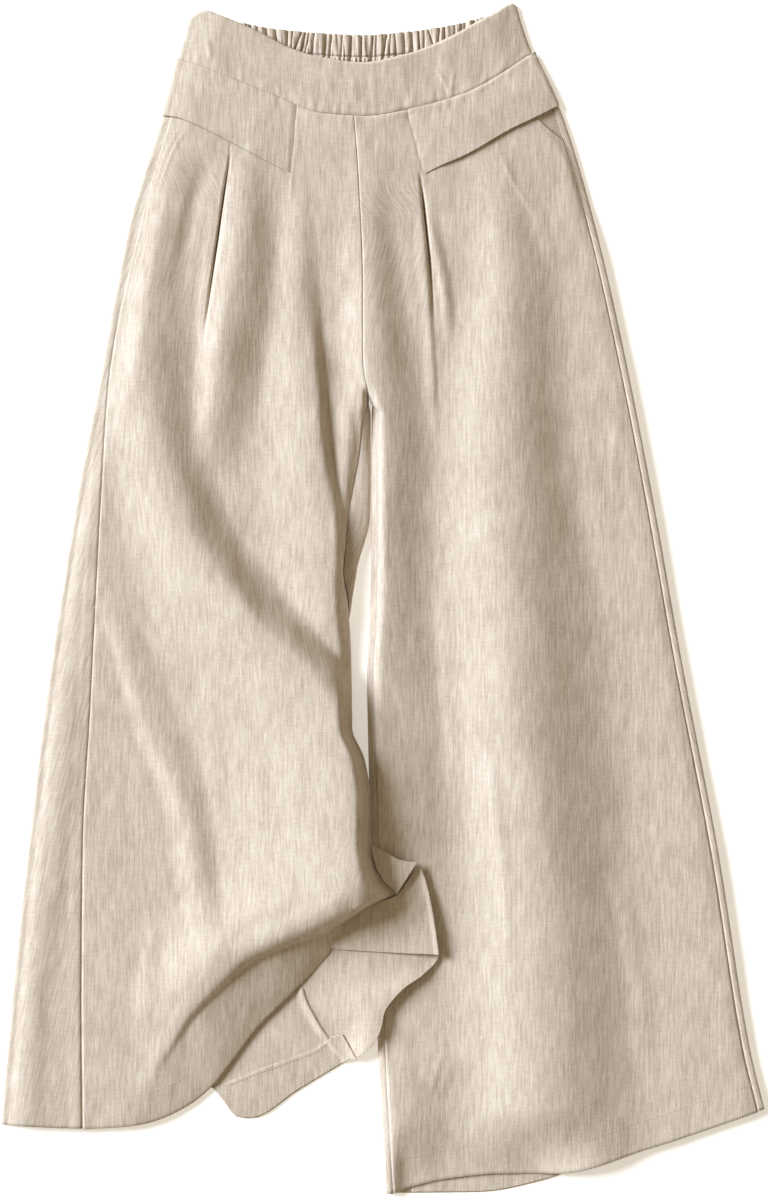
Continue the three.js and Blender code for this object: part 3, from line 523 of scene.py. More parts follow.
def apron(x, y):
    """Below the crest the front falls evenly from the foot of the fold to its hem."""
    foot = crest(x)
    down = clamp((foot - y) / np.maximum(foot - left_front_hem(x), 8))
    return mix(apron_rise(x), -apron_droop(x), down) * (1 - smooth((y - foot) / 34))


def front_height(x, y, leg):
    """Middle of the front layer above the table. On the left leg the rolling fold comes on top,
    and its free inner edge turns down to the table or rests on the right leg."""
    tucks = sum(tuck_depth(tuck, leg, x, y) for tuck in TUCKS)
    height = bridged(x, y, leg) - tucks
    if leg is RIGHT:
        low = (1 - smooth((y - right_front_hem(x)) / 60)) * smooth((x + 4) / 24)
        return mix(height, HEM_REST, low * (1 - smooth((x - 130) / 80)))
    height = height + past_left_side(x, y) * (swell(x, y) + apron(x, y))
    edge = climb(LEFT.to_x(y) - x, 12)
    dropped = mix(height, mix(5, height, edge), loose(y))
    rests = (y <= -110) & (x >= -40)
    return np.where(rests, np.maximum(dropped, clear_of_right(x, y)), dropped)


# ---- creases, seams and crinkles, which every layer of the front shares
# Soft ridges (rise > 0) and troughs (rise < 0): path, half width left and right of it, rise.
CREASES = [
    # lips of the right tuck
    ([(38, 362), (42, 319), (48, 293), (53, 262), (57, 215)], 6, 9, 2),
    ([(28, 362), (32, 330), (35, 300), (38, 262), (41, 220), (44, 170), (46, 120)], 9, 4, 1.3),
    # lips of the left tuck
    ([(-133, 385), (-137, 345), (-144, 300), (-151, 262), (-157, 215)], 4, 6, 0.7),
    ([(-145, 385), (-149, 345), (-155, 300), (-160, 262), (-165, 215)], 8, 4, 0.8),
    # pressed edges below the left flap, where the pocket lies
    ([(-169, 419), (-180, 403), (-187, 390), (-195, 368), (-202, 346)], 1.8, 2.6, 0.7),
    ([(-176, 420), (-186, 402), (-193, 388), (-200, 366), (-207, 346)], 1.8, 2.6, 0.6),
    # fainter folds of the fronts
    ([(-150, 404), (-158, 376), (-167, 345), (-177, 300), (-182, 250)], 12, 12, -1.6),
    ([(98, 402), (104, 383), (113, 364), (122, 350), (134, 328)], 1.8, 6, 0.6),
    ([(116, 380), (128, 352), (140, 320), (150, 280)], 9, 10, 0.7),
    ([(-82, 376), (-82, 362), (-83, 345)], 1.6, 4, 0.5),
    ([(-134, 404), (-136, 392), (-138, 378)], 1.4, 1.4, -0.5),
    ([(206, 190), (204, 160), (201, 120), (203, 70)], 7, 8, 0.6),
    ([(50, 30), (54, -60), (60, -140), (66, -220)], 10, 12, 1),
    ([(88, -100), (96, -180), (104, -250), (110, -330)], 8, 10, 1.2),
    ([(200, -200), (214, -290), (226, -360), (230, -440)], 14, 14, 0.9),
    ([(280, -150), (292, -220), (300, -300), (304, -380)], 9, 9, 0.6),
    ([(52, -395), (44, -420), (40, -440)], 3, 4, 0.9),
    ([(58, -405), (52, -425), (49, -440)], 3, 4, 0.7),
    ([(-130, 60), (-120, 20), (-104, -10), (-84, -40)], 14, 16, -1.2),
    ([(-150, -100), (-150, -160), (-148, -220)], 12, 14, 0.6),
    ([(-116, -110), (-112, -170), (-112, -230)], 10, 12, 0.4),
    ([(-84, -90), (-78, -150), (-76, -220)], 10, 12, 0.4),
    ([(-200, -260), (-208, -330), (-214, -400)], 12, 12, 1),
    # the waistband
    ([(49, 463), (54, 449), (60, 438)], 2.2, 3, 0.5),
    ([(62, 467), (59, 452), (57, 440)], 2.2, 2.6, 0.6),
    ([(44, 466), (50, 457), (51, 448)], 2, 2.4, 0.4),
    ([(-54, 470), (-50, 455), (-47, 440)], 6, 7, 0.4),
    ([(14, 470), (16, 455), (17, 440)], 6, 7, 0.5),
    ([(-12, 464), (-10, 452), (-9, 440), (-8, 428)], 5, 5, 0.7),
    ([(-28, 462), (-27, 448), (-26, 430)], 5, 6, 0.6),
    ([(-120, 480), (-96, 462), (-74, 452)], 10, 10, 0.8),
    ([(-156, 494), (-154, 480), (-153, 470)], 3, 4, 0.8),
]


def groove(offset, depth, width):
    """A seam's narrow dip, with the cloth standing a little proud on both sides."""
    return 0.35 * depth * hill(offset / (3 * width)) - depth * hill(offset / width)


def seams(x, y):
    """Dips along the sewn lines, and puckers where the waistband holds the fronts in."""
    below = smooth((y - CROTCH) / 8) * smooth((band_bottom(x) - y) / 2)
    height = below * groove(x - centre(y), 0.09, 1.2)
    side = smooth((280 - y) / 60)
    height += side * groove(x - LEFT.seam(y), 0.35, 1.2)
    allowance = LEFT.seam(y) - x
    height += 0.45 * side * smooth(allowance / 2) * (1 - smooth((allowance - 8) / 4))
    flap = smooth((y - 368) / 4) * smooth((band_bottom(x) - y) / 2)
    height += flap * groove(x - left_flap_seam(y), 0.16, 1.2)
    height += flap * groove(x - right_flap_seam(y), 0.22, 1.2)
    seam = y - band_bottom(x)
    pucker = wander(x, 0 * y, 4.2, 1, 11) * np.where(seam > 0, 1, -0.7)
    depth = 0.9 + 0.5 * wander(x, 0 * y, 9, 1, 12)
    height += 0.7 * depth * groove(seam, 1, 1.6)
    height += 0.45 * pucker * hill((np.abs(seam) - 5) / 5)
    for hem, depth in ((left_front_hem, 0.1), (right_front_hem, 0.3)):
        owner = x < -8 if hem is left_front_hem else x >= -8
        turned = y - hem(x) - HEM
        lying = owner * (y < -250) * smooth((-60 - np.abs(x)) / 40 + 2)
        height += lying * (depth * groove(turned, 1, 1.2) + 0.25 * smooth(-turned / 2))
    return height


def crinkle(x, y):
    """The washed cloth's own unevenness: long soft swells along the grain and finer ones."""
    return (
        0.45 * wander(x + 0.2 * y, y, 26, 80, 1)
        + 0.16 * wander(x, y, 9, 36, 2)
        + 0.10 * wander(x - 0.3 * y, y, 6, 16, 3)
    )


def creased(x, y):
    """The sum of all creases, seams and crinkles at each point."""
    x, y = np.broadcast_arrays(x, y)
    height = crinkle(x, y) + seams(x, y)
    for points, left, right, rise in CREASES:
        px, py = np.array(points, float).T
        wide = max(left, right)
        near = (x > px.min() - wide) & (x < px.max() + wide)
        near &= (y > py.min() - wide) & (y < py.max() + wide)
        if near.any():
            share, offset = along(trail(points), x[near], y[near])
            fade = smooth(share / 0.35) * smooth((1 - share) / 0.35)
            height[near] += rise * fade * bell(offset, right, left)
    return height


def under_flaps(x, y):
    """How much of the front lies under a hip flap, from 0 to 1: there it is pressed down."""
    left = smooth((left_flap_seam(y) - x) / 3) * smooth((y - left_flap_edge(x) + 1.5) / 3)
    right = smooth((x - right_flap_seam(y)) / 3) * smooth((y - right_flap_edge(x) - 3) / 5)
    return np.where(x < 0, left, right)


def cloth_height(x, y, leg):
    """The front layer with its creases."""
    return front_height(x, y, leg) + creased(x, y) - FLAP_PRESS * under_flaps(x, y)


# ---- from points to pieces
def steps(points, axis):
    """Distance along the cloth down a column (axis 0) or across a row (axis 1) of a grid."""
    flat = points[..., [1, 2]] if axis == 0 else points[..., [0, 2]]
    step = np.linalg.norm(np.diff(flat, axis=axis), axis=2)
    start = np.zeros_like(np.take(step, [0], axis=axis))
    return np.concatenate([start, np.cumsum(step, axis=axis)], axis=axis)


def cut_map(points):
    """The place of each point on the flat cut, in metres, with the threads running along +Y where
    the cloth lies flat."""
    across = steps(points, 1)
    middle = points.shape[1] // 2
    u = points[:, [middle], 0] + across - across[:, [middle]]
    v = points[[0], :, 1] - steps(points, 0)
    return np.stack([u, v], axis=2) * MM


def add_mesh(name, vertices, faces, material):
    """A mesh object at the origin from points in millimetres and four-sided faces."""
    mesh = bpy.data.meshes.new(name)
    mesh.vertices.add(len(vertices))
    mesh.vertices.foreach_set("co", (vertices * MM).astype(np.float32).ravel())
    mesh.loops.add(faces.size)
    mesh.loops.foreach_set("vertex_index", faces.astype(np.int32).ravel())
    mesh.polygons.add(len(faces))
    mesh.polygons.foreach_set("loop_start", np.arange(0, faces.size, 4, dtype=np.int32))
    mesh.update(calc_edges=True)
    mesh.polygons.foreach_set("use_smooth", np.ones(len(faces), bool))
    mesh.materials.append(material)
    return add_object(name, mesh)


def cells(rows, columns):
    """The four corners of each cell of a grid, as places in its list of points."""
    index = np.arange(rows * columns).reshape(rows, columns)
    quads = np.stack([index[:-1, :-1], index[1:, :-1], index[1:, 1:], index[:-1, 1:]], axis=2)
    return quads.reshape(-1, 4)


def area_of(points):
    """Area of the cloth on a grid of points, in square metres."""
    a, b = points[1:, 1:] - points[:-1, :-1], points[1:, :-1] - points[:-1, 1:]
    return 0.5 * np.linalg.norm(np.cross(a, b), axis=2).sum() * MM * MM


def cloth(name, points, slot="linen", shell=SHELL):
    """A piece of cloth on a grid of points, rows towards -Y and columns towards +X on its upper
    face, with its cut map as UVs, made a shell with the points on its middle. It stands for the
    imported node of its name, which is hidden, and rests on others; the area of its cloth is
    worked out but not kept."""
    quads = cells(*points.shape[:2])
    piece = add_mesh(name, points.reshape(-1, 3), quads, linen[slot])
    uv = piece.data.uv_layers.new(name="cut")
    uv.data.foreach_set("uv", cut_map(points).reshape(-1, 2)[quads.ravel()].astype(np.float32).ravel())
    wall = piece.modifiers.new("shell", "SOLIDIFY")
    wall.thickness = shell * MM
    wall.offset = 0
    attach(piece, "root")
    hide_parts(name)
    area_of(points)


def meet(place, edge):
    """The y at which lines x = place(y) meet an outline: the interval that holds it is halved."""
    low, high = -600, 600
    for _ in range(32):
        y = (low + high) / 2 + 0 * place(0)
        beyond = y > edge(place(y))
        low, high = np.where(beyond, low, y), np.where(beyond, y, high)
    return y


RISE_SHARE = 0.32  # share of a leg's rows that lie above the crotch
DRAWN = 0.62  # how far columns are drawn together beside a tuck
DRAWN_WITHIN = 0.07  # over this share of the panel's width


def row_at(start, end, share):
    """Rows down a leg: RISE_SHARE of them lies above the crotch."""
    upper = mix(start, CROTCH, share / RISE_SHARE)
    lower = mix(CROTCH, end, (share - RISE_SHARE) / (1 - RISE_SHARE))
    return np.where(share < RISE_SHARE, upper, lower)


def crowd(u, v, shares):
    """Column places drawn together round each share of the width, most of all at the top."""
    for share in shares:
        s = u - share
        u = u - DRAWN * (1 - v) ** 2 * s * hill(s / DRAWN_WITHIN)
    return u


def panel(left, right, top, bottom, columns, rows, height, spread=mix, tucks=()):
    """A grid between two upright lines, from one outline down to another, at a given height."""
    u = np.linspace(0, 1, columns)[None, :]
    v = np.linspace(0, 1, rows)[:, None]
    start = meet(lambda y: mix(left(y), right(y), crowd(u, 0, tucks)), top)
    end = meet(lambda y: mix(left(y), right(y), crowd(u, 1, tucks)), bottom)
    y = spread(start, end, v)
    x = mix(left(y), right(y), crowd(u, v, tucks))
    return np.stack([x, y, height(x, y)], axis=2)


def strips(stations, top, bottom, rows, spread=mix):
    """A grid whose columns run down the cloth from one outline to another: a station gives x at a
    height y on the garment, and z at x and y."""
    columns = []
    for place, height in stations:
        start, end = meet(place, top), meet(place, bottom)
        y = spread(start, end, np.linspace(0, 1, rows))
        x = place(y)
        columns.append(np.stack([x, y, height(x, y) + 0 * y], axis=1))
    return np.stack(columns, axis=1)


def rolled(edge, side, top, bottom, reach):
    """Stations round a rolled side, from the top to the table: a half circle squeezed to the
    height between the two."""

    def station(angle):
        def height(x, y):
            return mix(bottom, top(edge(y) - side * reach(y), y), (1 + np.sin(angle)) / 2)

        return lambda y: edge(y) - side * reach(y) * (1 - np.cos(angle)), height

    return [station(angle) for angle in np.radians(np.linspace(90, -90, 11))]


# ---- materials
def linear(hex_colour):
    """An sRGB hex colour as linear red, green, blue and alpha."""
    srgb = np.array([int(hex_colour[i : i + 2], 16) for i in (1, 3, 5)]) / 255
    rgb = np.where(srgb <= 0.04045, srgb / 12.92, ((srgb + 0.055) / 1.055) ** 2.4)
    return (*rgb, 1)


def node_material(name):
    """A material with its node tree, which starts as one shader and its output."""
    material = bpy.data.materials.new(name)
    material.use_nodes = True
    return material, material.node_tree


def node(tree, kind, settings=None, inputs=None):
    """Adds a node, sets its settings, and sets or links its inputs."""
    made = tree.nodes.new(kind)
    for key, value in (settings or {}).items():
        setattr(made, key, value)
    for key, value in (inputs or {}).items():
        if isinstance(value, bpy.types.NodeSocket):
            tree.links.new(value, made.inputs[key])
        else:
            made.inputs[key].default_value = value
    return made


def washed_linen(name, light, dark):
    """Washed linen, plain woven and undyed: matte, with thick and thin yarns that run down the cloth
    as pale and dark streaks, a fine grain of crossing threads and a faint mottle from washing."""
    material, tree = node_material(name)
    tree.nodes.clear()
    cut = node(tree, "ShaderNodeUVMap", {"uv_map": "cut"}).outputs["UV"]

    def pattern(width, length, detail):
        """Noise whose blotches are a width and a length in millimetres."""
        scale = (1 / (width * MM), 1 / (length * MM), 1)
        place = node(tree, "ShaderNodeMapping", None, {"Vector": cut, "Scale": scale})
        noise = node(
            tree, "ShaderNodeTexNoise", {"noise_dimensions": "2D"},
            {"Vector": place.outputs["Vector"], "Scale": 1, "Detail": detail, "Roughness": 0.6},
        )
        return noise.outputs["Fac"]

    slub = pattern(2.2, 24, 3)  # thick yarns, drawn about three threads wide
    thin = pattern(1.2, 13, 1)  # and finer ones
    weft = pattern(10, 2, 2)  # crossing yarns
    grain = pattern(1.1, 1.3, 2)  # threads, drawn at twice their real 0.5 mm
    mottle = pattern(30, 44, 2)
    layers = ((slub, 0.38), (thin, 0.15), (weft, 0.12), (grain, 0.2), (mottle, 0.15))
    tone = None
    for layer, weight in layers:
        tone = node(
            tree, "ShaderNodeMath", {"operation": "MULTIPLY_ADD"},
            {0: layer, 1: weight, 2: tone if tone is not None else 0},
        ).outputs["Value"]
    ramp = node(tree, "ShaderNodeValToRGB", None, {"Fac": tone})
    ramp.color_ramp.elements[0].position = 0.38
    ramp.color_ramp.elements[0].color = linear(dark)
    ramp.color_ramp.elements[1].position = 0.62
    ramp.color_ramp.elements[1].color = linear(light)
    height = node(
        tree, "ShaderNodeMath", {"operation": "MULTIPLY_ADD"}, {0: grain, 1: 0.5, 2: slub}
    ).outputs["Value"]
    bump = node(tree, "ShaderNodeBump", None, {"Height": height, "Strength": 0.35, "Distance": 0.0006})
    shader = node(
        tree, "ShaderNodeBsdfPrincipled", None,
        {"Base Color": ramp.outputs["Color"], "Roughness": 0.95, "Normal": bump.outputs["Normal"],
         "Specular IOR Level": 0.2},
    )
    node(tree, "ShaderNodeOutputMaterial", None, {"Surface": shader.outputs["BSDF"]})
    return material


linen = {
    "linen": washed_linen("washed linen", "#d8cbbe", "#b5a798"),
    "linen_inside": washed_linen("washed linen wrong side", "#d6c9bb", "#b2a393"),
}


# ---- the legs
def turned_under(points, back=(3, 5, 7, 9)):
    """A panel's grid with its hem folded under: after the last row, rows that run back up a layer
    below, each a copy of the row that lies over it."""
    drop = SHELL + 0.3
    under = [points[-1] + (0, -0.5 * drop, -0.5 * drop), points[-1] + (0, 0, -drop)]
    under += [points[-1 - k] - (0, 0, drop) for k in back]
    return np.concatenate([points, np.stack(under)])


def front_leg(name, leg, hem):
    """The front of a leg between its seams: x goes from one seam to the other, y from the
    waistband down to the hem, and z is the height of the front layer."""
    tucks = [share for owner, share, *_ in TUCKS if owner is leg]
    points = panel(
        leg.from_x, leg.to_x, band_bottom, hem, 120, 380,
        lambda x, y: cloth_height(x, y, leg), row_at, tucks,
    )
    points = turned_under(points)
    cloth(name, points)


def back_leg(name, leg, hem):
    """The back of a leg: a C-shaped section, from the side seam on top, round the rolled side,
    along the table and round the inner side to the inseam on top."""
    s = leg.side

    def top(x, y):
        return cloth_height(x, y, leg)

    def lying(x, y):
        """The layer on the table: level, but for the lip that curls up along its open inseam."""
        curl = smooth((y + 395) / 12) * smooth((-335 - y) / 12) * (s < 0)
        return FLOOR + 2.6 * curl * bell(x - leg.inner(y), 9, 2)

    def strip(t):
        return lambda y: mix(leg.seam(y), leg.edge(y) - s * leg.turn(y), t), top

    def unrolled(k, place, height):
        """An inner station, laid flat on the table where the leg isn't rolled."""
        def level(y):
            end = mix(leg.inner(y), centre(y), above_crotch(y))
            return end + s * 10 * (1 - k / 11)

        return (
            lambda y: mix(level(y), place(y), leg.roll(y)),
            lambda x, y: mix(lying(level(y), y), height(place(y), y), leg.roll(y)),
        )

    outer = [strip(t) for t in np.linspace(0, 1, 26 if leg is LEFT else 3)[:-1]]
    outer += rolled(leg.edge, s, top, FLOOR, leg.turn)
    inner = rolled(leg.inner, -s, top, FLOOR, lambda y: INNER_EDGE)[::-1] + [(lambda y: leg.inseam(y), top)]
    inner = [unrolled(k, *station) for k, station in enumerate(inner)]
    floor = [
        (lambda y, t=t: mix(outer[-1][0](y), inner[0][0](y), t), lambda x, y: FLOOR)
        for t in np.linspace(0, 1, 30)[1:-1]
    ]
    points = strips(outer + floor + inner, lambda x: BACK_SEAM - GAP, hem, 320, row_at)
    points = points[:, ::-s]
    cloth(name, points)


front_leg("front_leg_left", LEFT, left_front_hem)
front_leg("front_leg_right", RIGHT, right_front_hem)
back_leg("back_leg_left", LEFT, left_back_hem)
back_leg("back_leg_right", RIGHT, right_back_hem)


# ---- the waistband
def front_waistband():
    """The front of the waistband: level from side to side, and at each side a half circle down to
    the table, from its top outline down to the seam with the legs."""
    def top(x, y):
        return lofted(x, y, band_left(y), band_right(y)) + creased(x, y)

    def flat(t):
        return lambda y: mix(band_left(y) + EDGE, band_right(y) - EDGE, t), top

    stations = rolled(band_left, -1, top, BAND / 2, lambda y: EDGE)[::-1]
    stations += [flat(t) for t in np.linspace(0, 1, 220)[1:-1]]
    stations += rolled(band_right, 1, top, BAND / 2, lambda y: EDGE)
    points = strips(stations, band_top, band_bottom, 60)
    lip = np.array([-1.2, -0.35, 0])[:, None]
    points[:3, :, 2] += lip  # the folded top edge is rounded
    cloth("front_waistband", points, shell=BAND)


# Valleys between the gathers of the elastic: x at the top edge and at the casing's seam, width
# and depth.
GATHERS = table(
    "top low width depth",
    (-128, -127, 1.2, 0.6), (-118, -117, 1.4, 0.8), (-112, -111, 1, 0.6), (-104, -103, 1.8, 0.9),
    (-96, -94, 2.2, 1), (-85, -86, 1.4, 1), (-80.5, -82, 1, 0.8), (-72.5, -80, 1.2, 1),
    (-69, -73.5, 1.5, 1), (-66, -69.5, 0.9, 0.7), (-61.5, -64, 1.2, 0.9), (-51.5, -52.5, 1.8, 1),
    (-46.5, -48, 1.3, 1), (-37, -38, 1.1, 0.8), (-29, -30, 1.3, 1), (-20, -20.5, 1.5, 1),
    (-10, -11, 1.5, 1), (-7, -7.5, 0.9, 0.7), (2, -1, 1.7, 1), (6, 4, 0.9, 0.6),
    (9, 10.5, 1.1, 0.9), (17, 18, 1.5, 1), (24, 25, 1.6, 1), (30, 31, 1.3, 1), (35, 35, 1.1, 0.8),
    (38.5, 44, 1.2, 0.9), (48.5, 46.5, 1.5, 1), (53, 53, 1.4, 1), (62, 62, 1.3, 1),
    (67.5, 67, 1.1, 0.9), (71, 70, 1.4, 1), (79, 78, 1.2, 0.9), (88, 87, 1.3, 0.9),
)
CASING = 19.5  # from the top edge of the elastic waistband down to its stitched line


def fullness(x, y):
    """How far the gathered cloth stands out, from 0 in the valleys to 1 on the lobes between."""
    drop = (back_top(x) - y) / CASING
    full = 1 + 0.22 * wander(x - 1.5 * drop, y, 1.5, 30, 22)
    for top, low, width, depth in zip(*GATHERS.values()):
        offset = x - mix(top, low, drop)
        pinch = 0.74 * hill(offset / (0.66 * width)) + 0.2 * hill(offset / 2.6)
        full = full * (1 - depth * pinch)
    return full


def back_waistband():
    """The elastic back of the waistband, on the table inside the front: lobes parted by the
    valleys of the gathers, pinched in along the casing's stitched line."""
    inset = EDGE + BAND + 1.5

    def gathered(x, y):
        line = y - back_top(x) + CASING
        below = smooth(-line / 2)
        lobes = fullness(x, y) * mix(1, 0.6 + 0.4 * np.cos(2 * math.pi * x / 3.7), 0.5 * below)
        lobes = lobes * (1 + 0.25 * wander(x, y, 5, 14, 21))
        return FLOOR + 3.6 * lobes * (1 - 0.45 * hill(line / 1.1))

    points = panel(
        lambda y: band_left(y) + inset, lambda y: band_right(y) - inset,
        back_top, lambda x: BACK_SEAM + GAP, 520, 60, gathered,
    )
    scallop = 0.35 * (1 - fullness(points[:6, :, 0], points[:6, :, 1]))
    points[:6, :, 1] -= scallop * np.linspace(1, 0, 6)[:, None]
    cloth("back_waistband", points)


def hip_flap(name, leg, inner, edge, lift):
    """A flap that is sewn in at the waistband and at its inner seam, and lies on the front of the
    leg: it lifts off towards its free lower edge, and turns over the rolled side."""
    s = leg.side
    reach = EDGE + SHELL + GAP

    def clearance(x, y):
        free = smooth((x - inner(y)) * s / 40) * smooth((band_bottom(x) - y) / 30)
        return -0.3 + 0.75 * smooth((x - inner(y)) * s / 5) + lift * free

    def top(x, y):
        return bridged(x, y, leg) + creased(x, y) + clearance(x, y)

    def turn_at(y):
        return leg.edge(y) - s * EDGE

    def over(angle):
        def height(x, y):
            half = (top(turn_at(y), y) - FLOOR) / 2
            return FLOOR + half + half * np.sin(angle)

        return lambda y: turn_at(y) + s * reach * np.cos(angle), height

    stations = [(lambda y, t=t: mix(inner(y), turn_at(y), t), top) for t in np.linspace(0, 1, 110)]
    stations += [over(angle) for angle in np.radians(np.linspace(80, 0, 9))]
    points = strips(stations, band_bottom, edge, 60)
    points = points[:, ::s]
    cloth(name, points)


def pocket_facing():
    """The facing that shows where the right front is cut away for its slant pocket: the height of
    the front layer, lowered by a layer."""
    points = panel(
        lambda y: RIGHT.to_x(y) - 7, lambda y: RIGHT.seam(y),
        lambda x: 436 + 0.1 * (x - 140), level(398), 40, 40,
        lambda x, y: cloth_height(x, y, RIGHT) - SHELL - 0.4,
    )
    cloth("pocket_facing_right", points)


front_waistband()
back_waistband()
hip_flap("hip_flap_left", LEFT, left_flap_seam, left_flap_edge, 1)
hip_flap("hip_flap_right", RIGHT, right_flap_seam, right_flap_edge, 1.8)
pocket_facing()

# ---- the inner corner of the left leg, which spills over the right leg
rim = upright(
    (-296, 47), (-314, 48), (-330, 35), (-341, 19), (-352, 8), (-363, 0.5), (-378, -3), (-392, -10),
    (-405, -25),
)
CORNER_ROOM = 0.95  # room for the creases of the right leg under the corner


def corner_height(x, y):
    """The lowest layer: from the table up onto the right leg, and lifted off it towards its rim."""
    left = LEFT.inner(y) + GAP
    low = 34 * smooth((-352 - y) / 40)
    level = mix(FLOOR + LAYER, bed(x, y) + CORNER_ROOM, smooth((x + 72 - low) / (60 - low)))
    u = clamp((x - left) / (rim(y) - left))
    lift = smooth((u - 0.4) / 0.6) * smooth((-318 - y) / 26) * smooth((y + 408) / 26)
    return level + 4.5 * lift


def turned_height(x, y):
    """The middle layer, wrong side up: it lies level on the right leg and stands off a little at
    its right, where its edge curls."""
    off = smooth((x + 10) / 56) * smooth((-y - 245) / 60)
    level = bed(mix(x, 46, 0.7 * smooth((x + 40) / 30)), y) - 3 * (1 - smooth((x + 46) / 18))
    return level + LAYER + 2 * GAP + 3 * off


def corner_layer(name, points, slot="linen_inside"):
    """One of the corner's three layers, which rests on the piece under it."""
    cloth("front_leg_left_" + name, points, slot)


def inner_corner():
    """From the open inseam on the table to the folded rim on the right leg."""
    points = panel(
        lambda y: LEFT.inner(y) + GAP, rim,
        lambda x: mix(-322, -301, clamp((x + 78) / 30)),
        lambda x: mix(-406, -403.5, (x + 31) / 6),
        110, 110, corner_height,
    )
    corner_layer("inner_corner", points)


def turned_corner():
    """From under the crest of the fold to its own free right and lower edges."""
    right = upright((-232, 30), (-245, 35.5), (-262, 40), (-290, 45), (-312, 48))

    def height(x, y):
        return turned_height(x, y) + 1.4 * smooth((x - right(y) + 5) / 4)

    points = panel(
        level(-46), right,
        outline((-46, -289), (-30, -280.5), (-11, -269), (9.5, -261.5), (20, -249), (29, -233.5)),
        outline((-46, -308), (0, -311), (47, -313)), 110, 80, height,
    )
    corner_layer("turned_corner", points)


def peak():
    """A small peak of the outer face, between the flank of the fold and its crest."""
    points = panel(
        lambda y: LEFT.front(y) + 0.8,
        lambda y: mix(9.8, 28.6, clamp((y + 261) / 29)),
        outline((-12, -216), (0, -222), (14, -229.5), (29, -232)),
        level(-260), 60, 60,
        lambda x, y: turned_height(x, y) + LAYER + 1 + 3 * smooth((x + 10) / 34),
    )
    corner_layer("peak", points, "linen")


inner_corner()
turned_corner()
peak()


# ---- turned-up hems of the backs
def back_hem(name, back, left, right, top, hem):
    """A strip of the back leg's hem, folded up onto its inside. Past the open inseam it lies on the
    corner."""

    def height(x, y):
        lying = FLOOR + 0.55 + 0.2 * (1 + wander(x, y, 7, 12, 5))
        over = (back == "back_leg_left") * smooth((x - LEFT.inner(y) + 8) / 6)
        return mix(lying, corner_height(x, y) + 1.2, over)

    points = panel(left, right, top, lambda x: hem(x) + 0.6, 140, 30, height)
    length = (right(-390) - left(-390)) * MM * 1.2
    cloth(name, points, "linen_inside")


back_hem(
    "back_hem_left", "back_leg_left", level(-152), lambda y: -36.6 + 0.58 * (-384 - y),
    back_hem_top, left_back_hem,
)
back_hem(
    "back_hem_right", "back_leg_right", level(24), level(300),
    lambda x: right_back_hem(x) + HEM, right_back_hem,
)


# ---- stitches
STITCH = 2.6  # length of a stitch that shows
PITCH = 3.4  # from one stitch to the next
THREAD = 0.55  # width of the sewing thread as it is drawn, twice its real width


def stitches(name, seams_and_heights):
    """Rows of machine stitches in one mesh: along each path, low mounds of thread, longer than wide,
    on the cloth's height."""
    u, v = np.meshgrid(np.linspace(-1, 1, 5), np.linspace(-1, 1, 3), indexing="ij")
    grids = []
    for points, height in seams_and_heights:
        place, share = trail(points, 600)
        length = np.linalg.norm(np.diff(place, axis=0), axis=1).sum()
        at = np.arange(PITCH / 2, length, PITCH) / length
        x, y = np.interp(at, share, place[:, 0]), np.interp(at, share, place[:, 1])
        way = np.stack([np.gradient(x), np.gradient(y)], axis=1)
        way /= np.linalg.norm(way, axis=1)[:, None]
        px = x[:, None, None] + 0.5 * STITCH * u * way[:, 0, None, None]
        py = y[:, None, None] + 0.5 * STITCH * u * way[:, 1, None, None]
        px = px - 0.5 * THREAD * v * way[:, 1, None, None]
        py = py + 0.5 * THREAD * v * way[:, 0, None, None]
        mound = 0.3 * np.sqrt(1 - 0.9 * u * u) * (1 - 0.8 * v * v)
        grids.append(np.stack([px, py, height(px, py) + SHELL / 2 + mound], axis=3).reshape(-1, 15, 3))
    points = np.concatenate(grids)
    faces = (np.arange(len(points))[:, None, None] * 15 + cells(5, 3)).reshape(-1, 4)
    piece = add_mesh(name, points.reshape(-1, 3), faces, thread)
    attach(piece, "root")


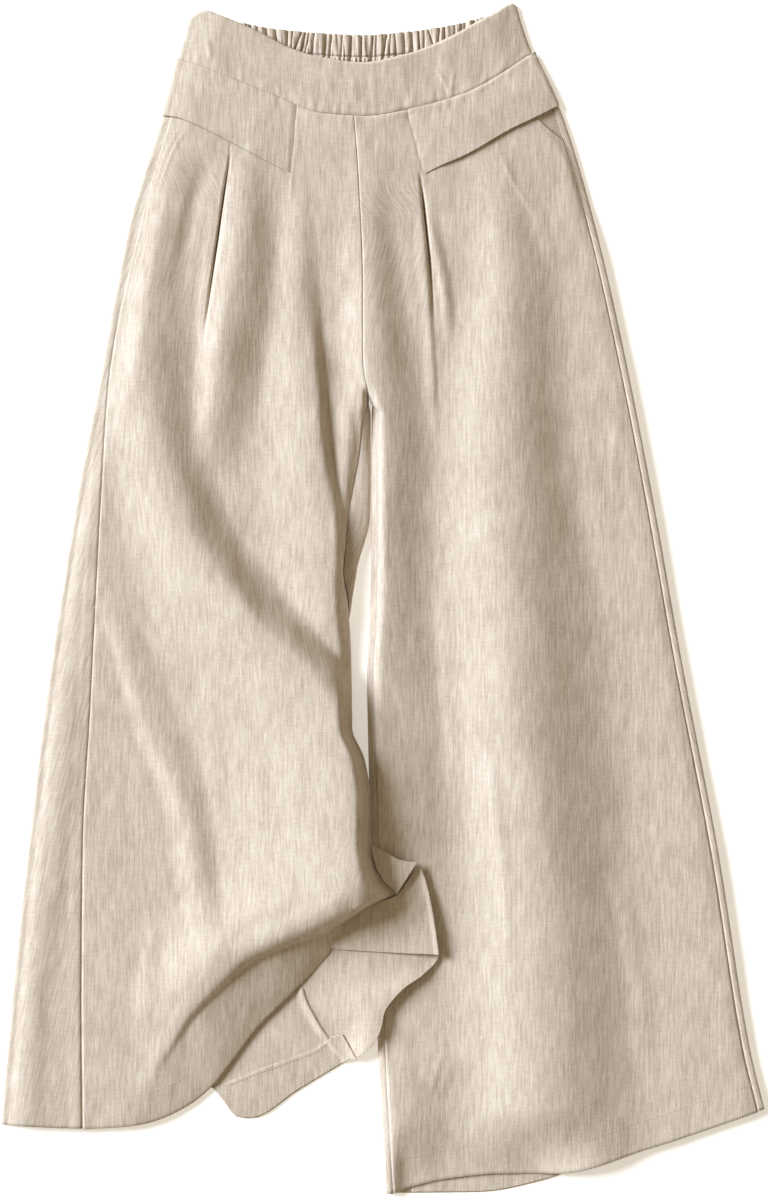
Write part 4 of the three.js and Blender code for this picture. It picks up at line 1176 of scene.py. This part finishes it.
def cotton_thread():
    """Spun cotton sewing thread, dull and a shade paler than the linen, with a faint twist."""
    material, tree = node_material("cotton thread")
    place = node(tree, "ShaderNodeTexCoord").outputs["Object"]
    twist = node(tree, "ShaderNodeTexNoise", None, {"Vector": place, "Scale": 900, "Detail": 1})
    ramp = node(tree, "ShaderNodeValToRGB", None, {"Fac": twist.outputs["Fac"]})
    ramp.color_ramp.elements[0].color = linear("#b9ab9b")
    ramp.color_ramp.elements[1].color = linear("#d9cdc0")
    shader = tree.nodes["Principled BSDF"]
    shader.inputs["Roughness"].default_value = 0.8
    tree.links.new(ramp.outputs["Color"], shader.inputs["Base Color"])
    return material


thread = cotton_thread()


def above(edge, rise, start, end):
    """A path that keeps so far above an outline."""
    x = np.linspace(start, end, 24)
    return np.stack([x, edge(x) + rise], axis=1)


def on_front(leg):
    return lambda x, y: cloth_height(x, y, leg)


stitches(
    "stitching",
    [
        (above(left_front_hem, HEM + 2, -262, -172), on_front(LEFT)),
        (above(right_front_hem, HEM + 2, 10, 326), on_front(RIGHT)),
        (above(lambda x: np.interp(x, (131, 148, 160), (421, 406, 397)), -3, 131, 160), on_front(RIGHT)),
        (above(back_hem_top, -3, -136, -44), lambda x, y: FLOOR + 1 + 0 * x),
    ],
)


# ---- floor and light
def add_floor():
    """A plain white table that glows a little, as lit from below, wide enough for any view."""
    half = 3.0
    corners = [(-half, -half, 0), (half, -half, 0), (half, half, 0), (-half, half, 0)]
    mesh = bpy.data.meshes.new("table")
    mesh.from_pydata(corners, [], [(0, 1, 2, 3)])
    material, tree = node_material("white table")
    shader = tree.nodes["Principled BSDF"]
    shader.inputs["Base Color"].default_value = linear("#fbfbfb")
    shader.inputs["Roughness"].default_value = 1
    shader.inputs["Specular IOR Level"].default_value = 0
    shader.inputs["Emission Color"].default_value = (1, 0.96, 0.91, 1)
    shader.inputs["Emission Strength"].default_value = 0.4
    mesh.materials.append(material)
    add_object("table", mesh)


def add_key():
    """A broad cool light, as from a window, low at the left."""
    rise, turn = math.radians(26), math.radians(158)
    light = bpy.data.lights.new("key", "SUN")
    light.energy = 6.3
    light.color = (0.835, 0.91, 1)
    light.angle = 0.5
    add_object("key", light).rotation_euler = (math.pi / 2 - rise, 0, turn + math.pi / 2)


def add_world():
    """Even warm light from all round, as from a room's walls."""
    world = bpy.data.worlds.new("studio")
    world.use_nodes = True
    background = world.node_tree.nodes["Background"]
    background.inputs["Color"].default_value = (1, 0.84, 0.565, 1)
    background.inputs["Strength"].default_value = 0.36
    bpy.context.scene.world = world


add_floor()
add_key()
add_world()
bpy.context.scene.view_settings.view_transform = "Standard"
